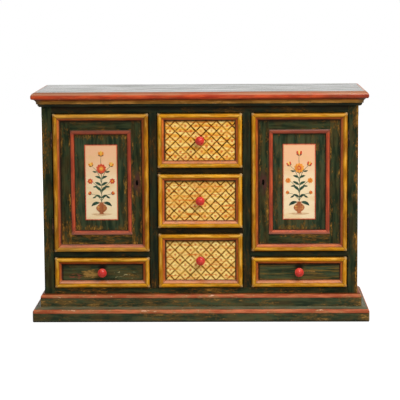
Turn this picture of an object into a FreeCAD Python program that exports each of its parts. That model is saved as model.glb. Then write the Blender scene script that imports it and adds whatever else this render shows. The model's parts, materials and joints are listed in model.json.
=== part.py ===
import FreeCAD, Part
import math
import os

# Painted credenza: a low cabinet with two cupboard doors, three centre drawers and a drawer under each door.
# Millimetres. X runs to the right as seen from the front, Y to the back, Z up.
# The origin is on the floor, in the middle of the whole cabinet's width and depth.

# Fronts, as seen on the face of the cabinet
DOOR_WIDTH = 372.0
DOOR_HEIGHT = 540.5
LOW_DRAWER_HEIGHT = 120.0
CENTRE_DRAWER_WIDTH = 329.0
CENTRE_DRAWER_COUNT = 3
FRONT_THICKNESS = 19.5
FRONT_RECESS = 2.0
FRONT_GAP = 2.0

# Face frame
STILE_WIDTH = 38.5
MULLION_WIDTH = 30.0
RAIL_HEIGHT = 18.5
TOP_RAIL_HEIGHT = 54.5
BOTTOM_RAIL_HEIGHT = 60.0
BOTTOM_RAIL_SHOWING = 22.5

# Carcass boards
BODY_DEPTH = 422.0
SIDE_THICKNESS = 20.0
PARTITION_THICKNESS = 18.0
BOTTOM_THICKNESS = 18.0
BACK_THICKNESS = 10.0
BACK_BOARD_COUNT = 6
BACK_BOARD_GAP = 0.6
CUPBOARD_FLOOR_THICKNESS = 16.0
SHELF_THICKNESS = 18.0
SHELF_HEIGHT = 250.0
SHELF_SETBACK = 24.0
SHELF_CLEARANCE = 0.5
BATTEN_SIZE = 20.0

# Top board and the cornice under it
TOP_THICKNESS = 27.0
TOP_OVERHANG = 38.0
TOP_NOSE_FLAT = 1.0
TOP_UNDER_RADIUS = 8.0
TOP_CORNER_RADIUS = 6.0
CORNICE_HEIGHT = 30.0
CORNICE_PROJECTION = 29.0
CORNICE_FOOT_HEIGHT = 12.0
CORNICE_FOOT_PROJECTION = 13.0
CORNICE_TOE = 5.0
CORNICE_STEP = 5.0

# Plinth: a skirt board all the way down and a thicker base board in front of it
SKIRT_HEIGHT = 106.0
SKIRT_THICKNESS = 16.0
SKIRT_EDGE_RADIUS = 13.0
SKIRT_CORNER_RADIUS = 4.0
BASE_HEIGHT = 57.0
BASE_THICKNESS = 29.5
BASE_WASH = 5.0
BASE_EDGE_RADIUS = 15.0
BASE_FOOT_RADIUS = 6.0
BASE_CORNER_RADIUS = 12.0

# Moulding planted round every door and drawer front
MOULDING_ROUND = 17.5
MOULDING_BEVEL = 10.5
MOULDING_HEIGHT = 14.0
MOULDING_EDGE = 6.0
MOULDING_SHOULDER = 12.0
MOULDING_LIP = 1.0
MOULDING_CORNER_RADIUS = 4.0

# Door frame, its sunk panel and the bead inside the frame
DOOR_STILE_WIDTH = 67.5
DOOR_TOP_RAIL = 65.0
DOOR_BOTTOM_RAIL = 66.5
PANEL_RECESS = 7.0
PANEL_THICKNESS = 7.0
PANEL_TONGUE = 7.5
GROOVE_SPARE = 0.5
BEAD_WIDTH = 17.5
BEAD_HEIGHT = 11.5
BEAD_EDGE = 9.0
BEAD_LIP = 2.5

# Butt hinges
HINGE_LENGTH = 60.0
HINGE_SPACING = 340.0
LEAF_THICKNESS = 1.2
LEAF_DEPTH = 18.0
LEAF_ROOT = 0.3
LEAF_SPACE = 0.6
BARREL_DIAMETER = 6.4
BARREL_SEAT = 0.2
KNUCKLE_GAP = 0.4
PIN_DIAMETER = 3.2
PIN_CLEARANCE = 0.3
PIN_HEAD_HEIGHT = 2.4

# Door lock
KEYHOLE_INSET = 46.5
KEYHOLE_DIAMETER = 8.5
KEYHOLE_SLOT_WIDTH = 5.0
KEYHOLE_HEIGHT = 21.0
LOCK_CASE_WIDTH = 62.0
LOCK_CASE_HEIGHT = 90.0
LOCK_CASE_DEPTH = 14.0
LOCK_CASE_WALL = 2.0
LOCK_CASE_INSET = 2.0
BOLT_LENGTH = 34.0
BOLT_HEIGHT = 16.0
BOLT_THICKNESS = 7.0
BOLT_RISE = 22.0
BOLT_CLEARANCE = 0.3

# Door stops
STOP_LENGTH = 120.0
STOP_THICKNESS = 12.0
STOP_OVERLAP = 10.0
STOP_CLEARANCE = 0.5

# Drawer boxes and what they run on
DRAWER_SIDE_THICKNESS = 12.0
DRAWER_BACK_THICKNESS = 12.0
DRAWER_BOTTOM_THICKNESS = 6.0
DRAWER_BOTTOM_LIFT = 8.0
DRAWER_BOTTOM_TONGUE = 5.0
DRAWER_TOP_DROP = 12.0
DRAWER_BACK_DROP = 8.0
DRAWER_REAR_CLEARANCE = 6.0
RUN_CLEARANCE = 0.3
RUNNER_WIDTH = 22.0
GUIDE_HEIGHT = 14.0

# Turned knobs
KNOB_DIAMETER = 35.0
KNOB_DOME_RISE = 8.0
KNOB_COLLAR_DIAMETER = 19.0
KNOB_COLLAR_HEIGHT = 3.0
KNOB_NECK_DIAMETER = 15.0
KNOB_NECK_HEIGHT = 10.0
KNOB_RIM_RADIUS = 4.0
KNOB_SPIGOT_DIAMETER = 12.0
KNOB_SPIGOT_STOP = 3.5
KNOB_SPIGOT_CLEARANCE = 0.1

# Two points nearer than this are one
SAME_POINT = 1e-6

# Places across the width, all for the right half
half_centre = CENTRE_DRAWER_WIDTH / 2
mullion_in = half_centre + FRONT_GAP
mullion_out = mullion_in + MULLION_WIDTH
door_in = mullion_out + FRONT_GAP
door_out = door_in + DOOR_WIDTH
hinge_gap = 2 * LEAF_THICKNESS + LEAF_SPACE
stile_in = door_out + hinge_gap
half_width = stile_in + STILE_WIDTH
side_in = half_width - SIDE_THICKNESS
door_x = (door_in + door_out) / 2
partition_x = (mullion_in + mullion_out) / 2
partition_in = partition_x - PARTITION_THICKNESS / 2
partition_out = partition_x + PARTITION_THICKNESS / 2

# Places through the depth
base_overhang = SKIRT_THICKNESS + BASE_THICKNESS
front_reach = max(base_overhang, TOP_OVERHANG)
face_y = front_reach - (BODY_DEPTH + front_reach) / 2
back_y = face_y + BODY_DEPTH
field_y = face_y + FRONT_RECESS
front_back = field_y + FRONT_THICKNESS
frame_back = front_back + STOP_CLEARANCE
back_in = back_y - BACK_THICKNESS
drawer_rear = back_in - DRAWER_REAR_CLEARANCE

# Places up the height
floor_z = SKIRT_HEIGHT + BOTTOM_RAIL_SHOWING
fronts_low = floor_z + FRONT_GAP
rail_z = fronts_low + LOW_DRAWER_HEIGHT + FRONT_GAP
cupboard_z = rail_z + RAIL_HEIGHT
door_low = cupboard_z + FRONT_GAP
door_high = door_low + DOOR_HEIGHT
top_rail_z = door_high + FRONT_GAP
carcass_z = top_rail_z + TOP_RAIL_HEIGHT
top_z = carcass_z + TOP_THICKNESS
door_z = (door_low + door_high) / 2
shelf_z = cupboard_z + SHELF_HEIGHT
centre_step = (door_high - fronts_low + 2 * FRONT_GAP + RAIL_HEIGHT) / CENTRE_DRAWER_COUNT
centre_height = centre_step - 2 * FRONT_GAP - RAIL_HEIGHT


def vec(x, y, z):
    """A point or direction."""
    return FreeCAD.Vector(x, y, z)


def box(x0, x1, y0, y1, z0, z1):
    """A plain board between two corners."""
    return Part.makeBox(x1 - x0, y1 - y0, z1 - z0, vec(x0, y0, z0))


def mirrored(shape):
    """The same piece on the other side of the cabinet."""
    return shape.mirror(vec(0, 0, 0), vec(1, 0, 0))


def both(shape):
    """A piece of the right half and its twin on the left."""
    return [shape, mirrored(shape)]


def line_of(here, end, place):
    """The straight edge between two profile points, or none where they are one point."""
    if math.dist(here, end) < SAME_POINT:
        return []
    return [Part.makeLine(place(*here), place(*end))]


def face_of(start, steps, place):
    """A flat face from a start point and steps: (u, h) is a line there, (via, end) an arc through via.

    place turns (u, h) into a point in space.
    """
    edges = []
    here = start
    for step in steps:
        if isinstance(step[0], tuple):
            via, end = step
            edges.append(Part.Arc(place(*here), place(*via), place(*end)).toShape())
        else:
            end = step
            edges += line_of(here, end, place)
        here = end
    edges += line_of(here, start, place)
    return Part.Face(Part.Wire(edges))


def quarter(centre, radius, from_deg, to_deg):
    """Via and end points of a round corner."""
    points = []
    for angle in ((from_deg + to_deg) / 2, to_deg):
        turn = math.radians(angle)
        points.append((centre[0] + radius * math.cos(turn), centre[1] + radius * math.sin(turn)))
    return tuple(points)


def plan_prism(points, z0, z1):
    """An upright prism over a floor plan."""
    corners = [vec(x, y, z0) for x, y in points]
    face = Part.Face(Part.makePolygon(corners + corners[:1]))
    return face.extrude(vec(0, 0, z1 - z0))


def rounded_plan(half, front, back, radius, z0, z1):
    """An upright block whose two front corners are rounded."""
    start = (half, back)
    steps = [
        (-half, back),
        (-half, front + radius),
        quarter((-half + radius, front + radius), radius, 180, 270),
        (half - radius, front),
        quarter((half - radius, front + radius), radius, 270, 360),
    ]
    face = face_of(start, steps, lambda x, y: vec(x, y, z0))
    return face.extrude(vec(0, 0, z1 - z0))


def surround(start, steps, half, front, reach, low, high):
    """Trim along the front and both ends, mitred at the front corners.

    The profile is (out, z), out from the surface that the trim is fixed to.
    Returns the front, left and right pieces.
    """
    outer = half + reach
    tip = front - reach
    across = face_of(start, steps, lambda out, z: vec(-outer, front - out, z))
    front_plan = [(-half, front), (half, front), (outer, tip), (-outer, tip)]
    front_piece = across.extrude(vec(2 * outer, 0, 0)).common(plan_prism(front_plan, low, high))
    along = face_of(start, steps, lambda out, z: vec(half + out, tip, z))
    side_plan = [(half, front), (half, back_y), (outer, back_y), (outer, tip)]
    side_piece = along.extrude(vec(0, back_y - tip, 0)).common(plan_prism(side_plan, low, high))
    return front_piece, mirrored(side_piece), side_piece


def mitre(length, wedge):
    """Cut a length of moulding to the four corners (x, z) of its mitred outline."""
    extent = length.BoundBox
    corners = [vec(x, extent.YMin, z) for x, z in wedge]
    face = Part.Face(Part.makePolygon(corners + corners[:1]))
    return length.common(face.extrude(vec(0, extent.YLength, 0)))


def mitred_frame(x, z, width, height, seat_y, reach, start, steps):
    """Four mitred lengths of a profile round a rectangle on an upright face.

    The profile is (u, h): u inwards from the rectangle's edge, h forwards from seat_y.
    """
    pieces = []
    for sign in (-1, 1):
        outer_z = z + sign * height / 2
        inner_z = outer_z - sign * reach
        level = face_of(start, steps, lambda u, h: vec(x - width / 2, seat_y - h, outer_z - sign * u))
        wedge = [
            (x - width / 2, outer_z),
            (x + width / 2, outer_z),
            (x + width / 2 - reach, inner_z),
            (x - width / 2 + reach, inner_z),
        ]
        pieces.append(mitre(level.extrude(vec(width, 0, 0)), wedge))
    for sign in (-1, 1):
        outer_x = x + sign * width / 2
        inner_x = outer_x - sign * reach
        upright = face_of(start, steps, lambda u, h: vec(outer_x - sign * u, seat_y - h, z - height / 2))
        wedge = [
            (outer_x, z - height / 2),
            (outer_x, z + height / 2),
            (inner_x, z + height / 2 - reach),
            (inner_x, z - height / 2 + reach),
        ]
        pieces.append(mitre(upright.extrude(vec(0, 0, height)), wedge))
    return pieces


def save(node, *solids):
    """Write one named piece, or a group of like pieces, as a STEP file."""
    shapes = []
    for solid in solids:
        shapes.extend(solid.Solids)
    for solid in shapes:
        assert solid.isValid(), node
    whole = shapes[0] if len(shapes) == 1 else Part.makeCompound(shapes)
    whole.exportStep(os.path.join("parts", node + ".step"))


def save_pair(node, *solids):
    """Write a piece of the right half and its twin as two nodes."""
    save("right_" + node, *solids)
    save("left_" + node, *[mirrored(solid) for solid in solids])


def make_top():
    """Top board: a big round over the front and the ends, and a small one under them."""
    half = half_width + TOP_OVERHANG
    front = face_y - TOP_OVERHANG
    under = TOP_UNDER_RADIUS
    over = TOP_THICKNESS - TOP_NOSE_FLAT - under
    length_steps = [
        (back_y, top_z),
        (front + over, top_z),
        quarter((front + over, top_z - over), over, 90, 180),
        (front, carcass_z + under),
        quarter((front + under, carcass_z + under), under, 180, 270),
    ]
    length = face_of((back_y, carcass_z), length_steps, lambda y, z: vec(-half, y, z))
    end_steps = [
        (half - under, carcass_z),
        quarter((half - under, carcass_z + under), under, -90, 0),
        (half, top_z - over),
        quarter((half - over, top_z - over), over, 0, 90),
        (over - half, top_z),
        quarter((over - half, top_z - over), over, 90, 180),
        (-half, carcass_z + under),
        quarter((under - half, carcass_z + under), under, 180, 270),
    ]
    ends = face_of((under - half, carcass_z), end_steps, lambda x, z: vec(x, front, z))
    board = length.extrude(vec(2 * half, 0, 0)).common(ends.extrude(vec(0, back_y - front, 0)))
    corners = rounded_plan(half, front, back_y, TOP_CORNER_RADIUS, carcass_z, top_z)
    save("top_board", board.common(corners))


def make_cornice():
    """Cove moulding over a small round foot, between the face and the top board."""
    low = carcass_z - CORNICE_HEIGHT
    step_z = low + CORNICE_FOOT_HEIGHT
    ledge = CORNICE_FOOT_PROJECTION + CORNICE_STEP
    foot_rise = CORNICE_FOOT_PROJECTION - CORNICE_TOE
    foot_via = (CORNICE_TOE + foot_rise * math.sin(math.radians(45)),
                step_z - CORNICE_FOOT_HEIGHT * math.cos(math.radians(45)))
    cove_via = (CORNICE_PROJECTION - (CORNICE_PROJECTION - ledge) * math.cos(math.radians(45)),
                step_z + (CORNICE_HEIGHT - CORNICE_FOOT_HEIGHT) * math.sin(math.radians(45)))
    steps = [
        (CORNICE_TOE, low),
        (foot_via, (CORNICE_FOOT_PROJECTION, step_z)),
        (ledge, step_z),
        (cove_via, (CORNICE_PROJECTION, carcass_z)),
        (0, carcass_z),
    ]
    front, left, right = surround((0, low), steps, half_width, face_y, CORNICE_PROJECTION, low, carcass_z)
    save("cornice_front", front)
    save("cornice_sides", left, right)


def make_plinth():
    """Skirt boards against the carcass and base boards against the skirt, with rounded edges."""
    radius = min(SKIRT_EDGE_RADIUS, SKIRT_THICKNESS)
    steps = [
        (SKIRT_THICKNESS, 0),
        (SKIRT_THICKNESS, SKIRT_HEIGHT - radius),
        quarter((SKIRT_THICKNESS - radius, SKIRT_HEIGHT - radius), radius, 0, 90),
        (0, SKIRT_HEIGHT),
    ]
    corners = rounded_plan(half_width + SKIRT_THICKNESS, face_y - SKIRT_THICKNESS, back_y,
                           SKIRT_CORNER_RADIUS, 0, SKIRT_HEIGHT)
    skirt = surround((0, 0), steps, half_width, face_y, SKIRT_THICKNESS, 0, SKIRT_HEIGHT)
    front, left, right = [piece.common(corners) for piece in skirt]
    save("skirt_front", front)
    save("skirt_sides", left, right)

    radius = min(BASE_EDGE_RADIUS, BASE_THICKNESS)
    shoulder = BASE_HEIGHT - BASE_WASH
    foot = BASE_FOOT_RADIUS
    steps = [
        (BASE_THICKNESS - foot, 0),
        quarter((BASE_THICKNESS - foot, foot), foot, -90, 0),
        (BASE_THICKNESS, shoulder - radius),
        quarter((BASE_THICKNESS - radius, shoulder - radius), radius, 0, 90),
        (0, BASE_HEIGHT),
    ]
    half = half_width + SKIRT_THICKNESS
    inner = face_y - SKIRT_THICKNESS
    corners = rounded_plan(half + BASE_THICKNESS, inner - BASE_THICKNESS, back_y,
                           BASE_CORNER_RADIUS, 0, BASE_HEIGHT)
    base = surround((0, 0), steps, half, inner, BASE_THICKNESS, 0, BASE_HEIGHT)
    front, left, right = [piece.common(corners) for piece in base]
    save("base_front", front)
    save("base_sides", left, right)


def make_carcass():
    """Sides, partitions, bottom and back."""
    side = box(side_in, half_width, frame_back, back_y, 0, carcass_z)
    save_pair("side", side)
    partition = box(partition_in, partition_out, frame_back, back_in, floor_z, carcass_z)
    save("partitions", *both(partition))
    save("bottom_board", box(-side_in, side_in, frame_back, back_in, floor_z - BOTTOM_THICKNESS, floor_z))
    pitch = (2 * side_in + BACK_BOARD_GAP) / BACK_BOARD_COUNT
    boards = []
    for index in range(BACK_BOARD_COUNT):
        x0 = -side_in + index * pitch
        x1 = x0 + pitch - BACK_BOARD_GAP
        boards.append(box(x0, x1, back_in, back_y, floor_z - BOTTOM_THICKNESS, carcass_z))
    save("back_boards", *boards)


def make_face_frame():
    """Stiles, mullions and rails round the doors and drawers."""
    save("stiles", *both(box(stile_in, half_width, face_y, frame_back, 0, carcass_z)))
    save("mullions", *both(box(mullion_in, mullion_out, face_y, frame_back, floor_z, top_rail_z)))
    save("top_rail", box(-stile_in, stile_in, face_y, frame_back, top_rail_z, carcass_z))
    save("bottom_rail", box(-stile_in, stile_in, face_y, frame_back, floor_z - BOTTOM_RAIL_HEIGHT, floor_z))
    save("door_rails", *both(box(mullion_out, stile_in, face_y, frame_back, rail_z, cupboard_z)))
    rails = []
    for low in centre_rail_heights():
        rails.append(box(-mullion_in, mullion_in, face_y, frame_back, low, low + RAIL_HEIGHT))
    save("centre_rails", *rails)


def centre_rail_heights():
    """Undersides of the rails between the centre drawers."""
    return [floor_z + (index + 1) * centre_step - RAIL_HEIGHT for index in range(CENTRE_DRAWER_COUNT - 1)]


def make_interior():
    """Cupboard floors, shelves on battens, door stops, and the strips that the drawers run on."""
    floor_under = cupboard_z - CUPBOARD_FLOOR_THICKNESS
    floor = box(partition_out, side_in, frame_back, back_in, floor_under, cupboard_z)
    save("cupboard_floors", *both(floor))
    shelf_front = frame_back + SHELF_SETBACK
    shelf = box(partition_out + SHELF_CLEARANCE, side_in - SHELF_CLEARANCE, shelf_front, back_in,
                shelf_z, shelf_z + SHELF_THICKNESS)
    save("shelves", *both(shelf))
    battens = []
    for x0 in (partition_out, side_in - BATTEN_SIZE):
        battens += both(box(x0, x0 + BATTEN_SIZE, shelf_front, back_in, shelf_z - BATTEN_SIZE, shelf_z))
    save("shelf_battens", *battens)

    stop_x = (door_x - STOP_LENGTH / 2, door_x + STOP_LENGTH / 2)
    stop_y = (frame_back, frame_back + STOP_THICKNESS)
    overlap = FRONT_GAP + STOP_OVERLAP
    stops = both(box(*stop_x, *stop_y, cupboard_z, cupboard_z + overlap))
    stops += both(box(*stop_x, *stop_y, top_rail_z - overlap, top_rail_z + overlap))
    save("door_stops", *stops)

    runners = []
    for low in centre_rail_heights() + [top_rail_z]:
        runner = box(partition_in - RUNNER_WIDTH, partition_in, frame_back, back_in, low, low + RAIL_HEIGHT)
        runners += both(runner)
    for index in range(CENTRE_DRAWER_COUNT):
        low = floor_z + index * centre_step
        runners += both(box(mullion_in, partition_in, frame_back, back_in, low, low + GUIDE_HEIGHT))
    for x0, x1 in ((partition_out, mullion_out), (stile_in, side_in)):
        runners += both(box(x0, x1, frame_back, back_in, floor_z, floor_z + GUIDE_HEIGHT))
    save("drawer_runners", *runners)


def moulding(x, z, width, height):
    """Outer moulding of a front: a full round outside and a flat bevel down to the field inside.

    Its four lengths meet in mitres, and the outer corners are worn round.
    """
    reach = MOULDING_ROUND + MOULDING_BEVEL
    crest = (MOULDING_ROUND * 0.45, MOULDING_HEIGHT)
    steps = [
        (0, MOULDING_EDGE),
        (crest, (MOULDING_ROUND, MOULDING_SHOULDER)),
        (reach, MOULDING_LIP),
        (reach, 0),
    ]
    outline = box(x - width / 2, x + width / 2, field_y - 2 * MOULDING_HEIGHT, field_y,
                  z - height / 2, z + height / 2)
    corners = [edge for edge in outline.Edges if edge.BoundBox.YLength > MOULDING_HEIGHT]
    outline = outline.makeFillet(MOULDING_CORNER_RADIUS, corners)
    lengths = mitred_frame(x, z, width, height, field_y, reach, (0, 0), steps)
    return [length.common(outline) for length in lengths]


def make_doors():
    """Framed doors with a sunk panel, on butt hinges, with a lock at the inner edge."""
    panel_in = door_in + DOOR_STILE_WIDTH
    panel_out = door_out - DOOR_STILE_WIDTH
    panel_low = door_low + DOOR_BOTTOM_RAIL
    panel_high = door_high - DOOR_TOP_RAIL
    panel_front = field_y + PANEL_RECESS
    panel_back = panel_front + PANEL_THICKNESS

    def panel_board(margin):
        """A board over the panel's opening, let into the frame by a margin."""
        return box(panel_in - margin, panel_out + margin, panel_front, panel_back,
                   panel_low - margin, panel_high + margin)

    save_pair("door_panel", panel_board(PANEL_TONGUE))
    channel = panel_board(PANEL_TONGUE + GROOVE_SPARE)
    key_x = door_in + KEYHOLE_INSET
    key_radius = KEYHOLE_DIAMETER / 2
    key_top = door_z + KEYHOLE_HEIGHT / 2
    key_centre = vec(key_x, field_y, key_top - key_radius)
    keyhole = Part.makeCylinder(key_radius, FRONT_THICKNESS, key_centre, vec(0, 1, 0))
    slot = box(key_x - KEYHOLE_SLOT_WIDTH / 2, key_x + KEYHOLE_SLOT_WIDTH / 2, field_y, front_back,
               key_top - KEYHOLE_HEIGHT, key_top - key_radius)
    keyhole = keyhole.fuse(slot)
    lock_stile = box(door_in, panel_in, field_y, front_back, door_low, door_high).cut(channel).cut(keyhole)
    hinge_stile = box(panel_out, door_out, field_y, front_back, door_low, door_high).cut(channel)
    low_rail = box(panel_in, panel_out, field_y, front_back, door_low, panel_low).cut(channel)
    high_rail = box(panel_in, panel_out, field_y, front_back, panel_high, door_high).cut(channel)
    save_pair("door_frame", lock_stile, hinge_stile, low_rail, high_rail)

    bead_steps = [
        (0, BEAD_EDGE),
        ((BEAD_WIDTH / 2, BEAD_HEIGHT), (BEAD_WIDTH, BEAD_LIP)),
        (BEAD_WIDTH, 0),
    ]
    bead = mitred_frame(door_x, (panel_low + panel_high) / 2, panel_out - panel_in, panel_high - panel_low,
                        panel_front, BEAD_WIDTH, (0, 0), bead_steps)
    save_pair("door_bead", *bead)
    save_pair("door_moulding", *moulding(door_x, door_z, DOOR_WIDTH, DOOR_HEIGHT))


def make_hinges():
    """Butt hinges in the gap at each door's outer edge, with the barrel standing in front of the face."""
    radius = BARREL_DIAMETER / 2
    axis_x = door_out + LEAF_THICKNESS + radius - LEAF_ROOT
    axis_y = face_y - radius - BARREL_SEAT
    bore = PIN_DIAMETER / 2 + PIN_CLEARANCE
    knuckle = (HINGE_LENGTH - 2 * KNUCKLE_GAP) / 3
    frame_leaves = []
    door_leaves = []
    for hinge_z in (door_z - HINGE_SPACING / 2, door_z + HINGE_SPACING / 2):
        low = hinge_z - HINGE_LENGTH / 2
        high = low + HINGE_LENGTH
        leaf_back = face_y + LEAF_DEPTH
        frame_leaf = box(stile_in - LEAF_THICKNESS, stile_in, face_y, leaf_back, low, high)
        door_leaf = box(door_out, door_out + LEAF_THICKNESS, face_y, leaf_back, low, high)
        for index in range(3):
            z0 = low + index * (knuckle + KNUCKLE_GAP)
            barrel = Part.makeCylinder(radius, knuckle, vec(axis_x, axis_y, z0))
            hole = Part.makeCylinder(bore, knuckle, vec(axis_x, axis_y, z0))
            if index == 1:
                root = box(door_out, door_out + LEAF_THICKNESS, axis_y, face_y, z0, z0 + knuckle)
                door_leaf = door_leaf.fuse(root).fuse(barrel).cut(hole)
            else:
                root = box(stile_in - LEAF_THICKNESS, stile_in, axis_y, face_y, z0, z0 + knuckle)
                frame_leaf = frame_leaf.fuse(root).fuse(barrel).cut(hole)
        pin = Part.makeCylinder(PIN_DIAMETER / 2, HINGE_LENGTH, vec(axis_x, axis_y, low))
        head = Part.makeCylinder(radius, PIN_HEAD_HEIGHT, vec(axis_x, axis_y, high))
        frame_leaves += both(frame_leaf.removeSplitter())
        frame_leaves += both(pin.fuse(head).removeSplitter())
        door_leaves.append(door_leaf.removeSplitter())
    save("hinge_frame_leaves", *frame_leaves)
    save_pair("hinge_door_leaves", *door_leaves)
    print("right hinge axis", round(axis_x, 3), round(axis_y, 3))


def make_locks():
    """A case on the back of each lock stile, and a bolt that slides out of it behind the mullion."""
    x0 = door_in + LOCK_CASE_INSET
    x1 = x0 + LOCK_CASE_WIDTH
    z0 = door_z - LOCK_CASE_HEIGHT / 2
    y1 = front_back + LOCK_CASE_DEPTH
    wall = LOCK_CASE_WALL
    case = box(x0, x1, front_back, y1, z0, z0 + LOCK_CASE_HEIGHT)
    hollow = box(x0 + wall, x1 - wall, front_back, y1 - wall, z0 + wall, z0 + LOCK_CASE_HEIGHT - wall)
    bolt_y = front_back + (LOCK_CASE_DEPTH - BOLT_THICKNESS) / 2
    bolt_z = door_z + BOLT_RISE
    bolt = box(x0, x0 + BOLT_LENGTH, bolt_y, bolt_y + BOLT_THICKNESS, bolt_z, bolt_z + BOLT_HEIGHT)
    spare = BOLT_CLEARANCE
    mouth = box(x0, x0 + wall, bolt_y - spare, bolt_y + BOLT_THICKNESS + spare,
                bolt_z - spare, bolt_z + BOLT_HEIGHT + spare)
    save_pair("lock_case", case.cut(hollow).cut(mouth))
    save_pair("lock_bolt", bolt)


def knob(x, z):
    """Turned knob: spigot in the front, collar, waisted neck and domed head."""
    spigot = KNOB_SPIGOT_DIAMETER / 2
    collar = KNOB_COLLAR_DIAMETER / 2
    neck = KNOB_NECK_DIAMETER / 2
    head_h = KNOB_COLLAR_HEIGHT + KNOB_NECK_HEIGHT
    rim = KNOB_RIM_RADIUS
    shoulder = KNOB_DIAMETER / 2 - rim
    dome_h = head_h + 2 * rim
    rise = KNOB_DOME_RISE
    tip_h = dome_h + rise
    depth = FRONT_THICKNESS - KNOB_SPIGOT_STOP
    dome_radius = (shoulder ** 2 + rise ** 2) / (2 * rise)
    half_angle = math.asin(shoulder / dome_radius) / 2
    dome_via = (dome_radius * math.sin(half_angle), tip_h - dome_radius * (1 - math.cos(half_angle)))
    steps = [
        (spigot, -depth),
        (spigot, 0),
        (collar, 0),
        (collar, KNOB_COLLAR_HEIGHT),
        ((neck, KNOB_COLLAR_HEIGHT + KNOB_NECK_HEIGHT / 2), (collar, head_h)),
        (shoulder, head_h),
        quarter((shoulder, head_h + rim), rim, -90, 0),
        quarter((shoulder, head_h + rim), rim, 0, 90),
        (dome_via, (0, tip_h)),
    ]
    profile = face_of((0, -depth), steps, lambda r, h: vec(x + r, field_y - h, z))
    return profile.revolve(vec(x, 0, z), vec(0, 1, 0), 360)


def make_drawer(name, x, width, low, height, run_z):
    """One drawer: front with its moulding and knob, and the box behind it."""
    z = low + height / 2
    hole_radius = KNOB_SPIGOT_DIAMETER / 2 + KNOB_SPIGOT_CLEARANCE
    hole = Part.makeCylinder(hole_radius, FRONT_THICKNESS, vec(x, field_y, z), vec(0, 1, 0))
    front = box(x - width / 2, x + width / 2, field_y, front_back, low, low + height)
    save(name + "_front", front.cut(hole))
    save(name + "_moulding", *moulding(x, z, width, height))
    save(name + "_knob", knob(x, z))

    side_low = run_z + RUN_CLEARANCE
    side_high = low + height - DRAWER_TOP_DROP
    bottom_low = side_low + DRAWER_BOTTOM_LIFT
    bottom_high = bottom_low + DRAWER_BOTTOM_THICKNESS
    inner = width / 2 - DRAWER_SIDE_THICKNESS
    tongue = inner + DRAWER_BOTTOM_TONGUE
    groove = tongue + GROOVE_SPARE
    bottom = box(x - tongue, x + tongue, front_back, drawer_rear, bottom_low, bottom_high)
    channel = box(x - groove, x + groove, front_back, drawer_rear, bottom_low, bottom_high)
    pieces = [bottom]
    for x0 in (x - width / 2, x + inner):
        side = box(x0, x0 + DRAWER_SIDE_THICKNESS, front_back, drawer_rear, side_low, side_high)
        pieces.append(side.cut(channel))
    rear = drawer_rear - DRAWER_BACK_THICKNESS
    pieces.append(box(x - inner, x + inner, rear, drawer_rear, bottom_high, side_high - DRAWER_BACK_DROP))
    save(name + "_box", *pieces)


def make_drawers():
    """Three drawers up the middle and one under each door."""
    for index in range(CENTRE_DRAWER_COUNT):
        run_z = floor_z + index * centre_step
        name = "centre_drawer_%d" % (index + 1)
        make_drawer(name, 0, CENTRE_DRAWER_WIDTH, run_z + FRONT_GAP, centre_height, run_z)
    make_drawer("left_drawer", -door_x, DOOR_WIDTH, fronts_low, LOW_DRAWER_HEIGHT, floor_z)
    make_drawer("right_drawer", door_x, DOOR_WIDTH, fronts_low, LOW_DRAWER_HEIGHT, floor_z)


os.makedirs("parts", exist_ok=True)
make_top()
make_cornice()
make_plinth()
make_carcass()
make_face_frame()
make_interior()
make_doors()
make_hinges()
make_locks()
make_drawers()
print("face", face_y, "back", back_y, "half width", half_width, "top", top_z)
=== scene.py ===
"""Finishes, painted ornaments, small ironwork, studio and camera of a painted credenza.

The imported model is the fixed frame: metres, X to the right seen from the front, Y to the back, Z up.
Every mesh keeps its place in its vertices, so object coordinates are frame coordinates at rest.
"""

import json
import logging
import math
from collections.abc import Callable, Sequence
from dataclasses import dataclass, field
from enum import Enum
from functools import cache, partial
from typing import ClassVar

import bmesh
import bpy
from mathutils import Matrix, Vector

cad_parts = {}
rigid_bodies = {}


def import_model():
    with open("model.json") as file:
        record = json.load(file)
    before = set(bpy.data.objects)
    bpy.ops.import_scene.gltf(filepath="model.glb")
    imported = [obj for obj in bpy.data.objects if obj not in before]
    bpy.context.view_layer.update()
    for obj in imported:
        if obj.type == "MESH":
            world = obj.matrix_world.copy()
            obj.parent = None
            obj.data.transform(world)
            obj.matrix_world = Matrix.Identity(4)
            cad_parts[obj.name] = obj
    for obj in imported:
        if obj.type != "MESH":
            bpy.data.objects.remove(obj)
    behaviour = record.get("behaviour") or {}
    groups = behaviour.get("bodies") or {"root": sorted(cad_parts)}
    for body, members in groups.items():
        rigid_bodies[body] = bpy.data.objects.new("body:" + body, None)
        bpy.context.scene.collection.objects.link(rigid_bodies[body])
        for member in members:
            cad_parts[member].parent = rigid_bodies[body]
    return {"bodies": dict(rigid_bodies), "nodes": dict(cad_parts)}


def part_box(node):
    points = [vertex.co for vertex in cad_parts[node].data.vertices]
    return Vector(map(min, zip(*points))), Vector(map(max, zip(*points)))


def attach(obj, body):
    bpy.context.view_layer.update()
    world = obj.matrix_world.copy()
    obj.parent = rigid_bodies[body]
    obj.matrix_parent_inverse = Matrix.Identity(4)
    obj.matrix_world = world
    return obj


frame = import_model()

LOG = logging.getLogger("credenza")
MM = 0.001
MOULDING_WIDTH = 28 * MM
OVERLAP = 3 * MM

BMesh = bmesh.types.BMesh
Material = bpy.types.Material
NodeTree = bpy.types.NodeTree
Socket = bpy.types.NodeSocket
Point2 = tuple[float, float]
Point3 = tuple[float, float, float]
Builder = Callable[[BMesh], None]


@dataclass(frozen=True)
class Tone:
    """A colour as a screen shows it, 0 to 255 for each of red, green and blue."""

    red: int
    green: int
    blue: int

    def linear(self) -> tuple[float, ...]:
        """The same colour in the shader's linear values, with full alpha."""
        parts = [part / 255 for part in (self.red, self.green, self.blue)]
        return (*(p / 12.92 if p <= 0.04045 else ((p + 0.055) / 1.055) ** 2.4 for p in parts), 1.0)


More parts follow.
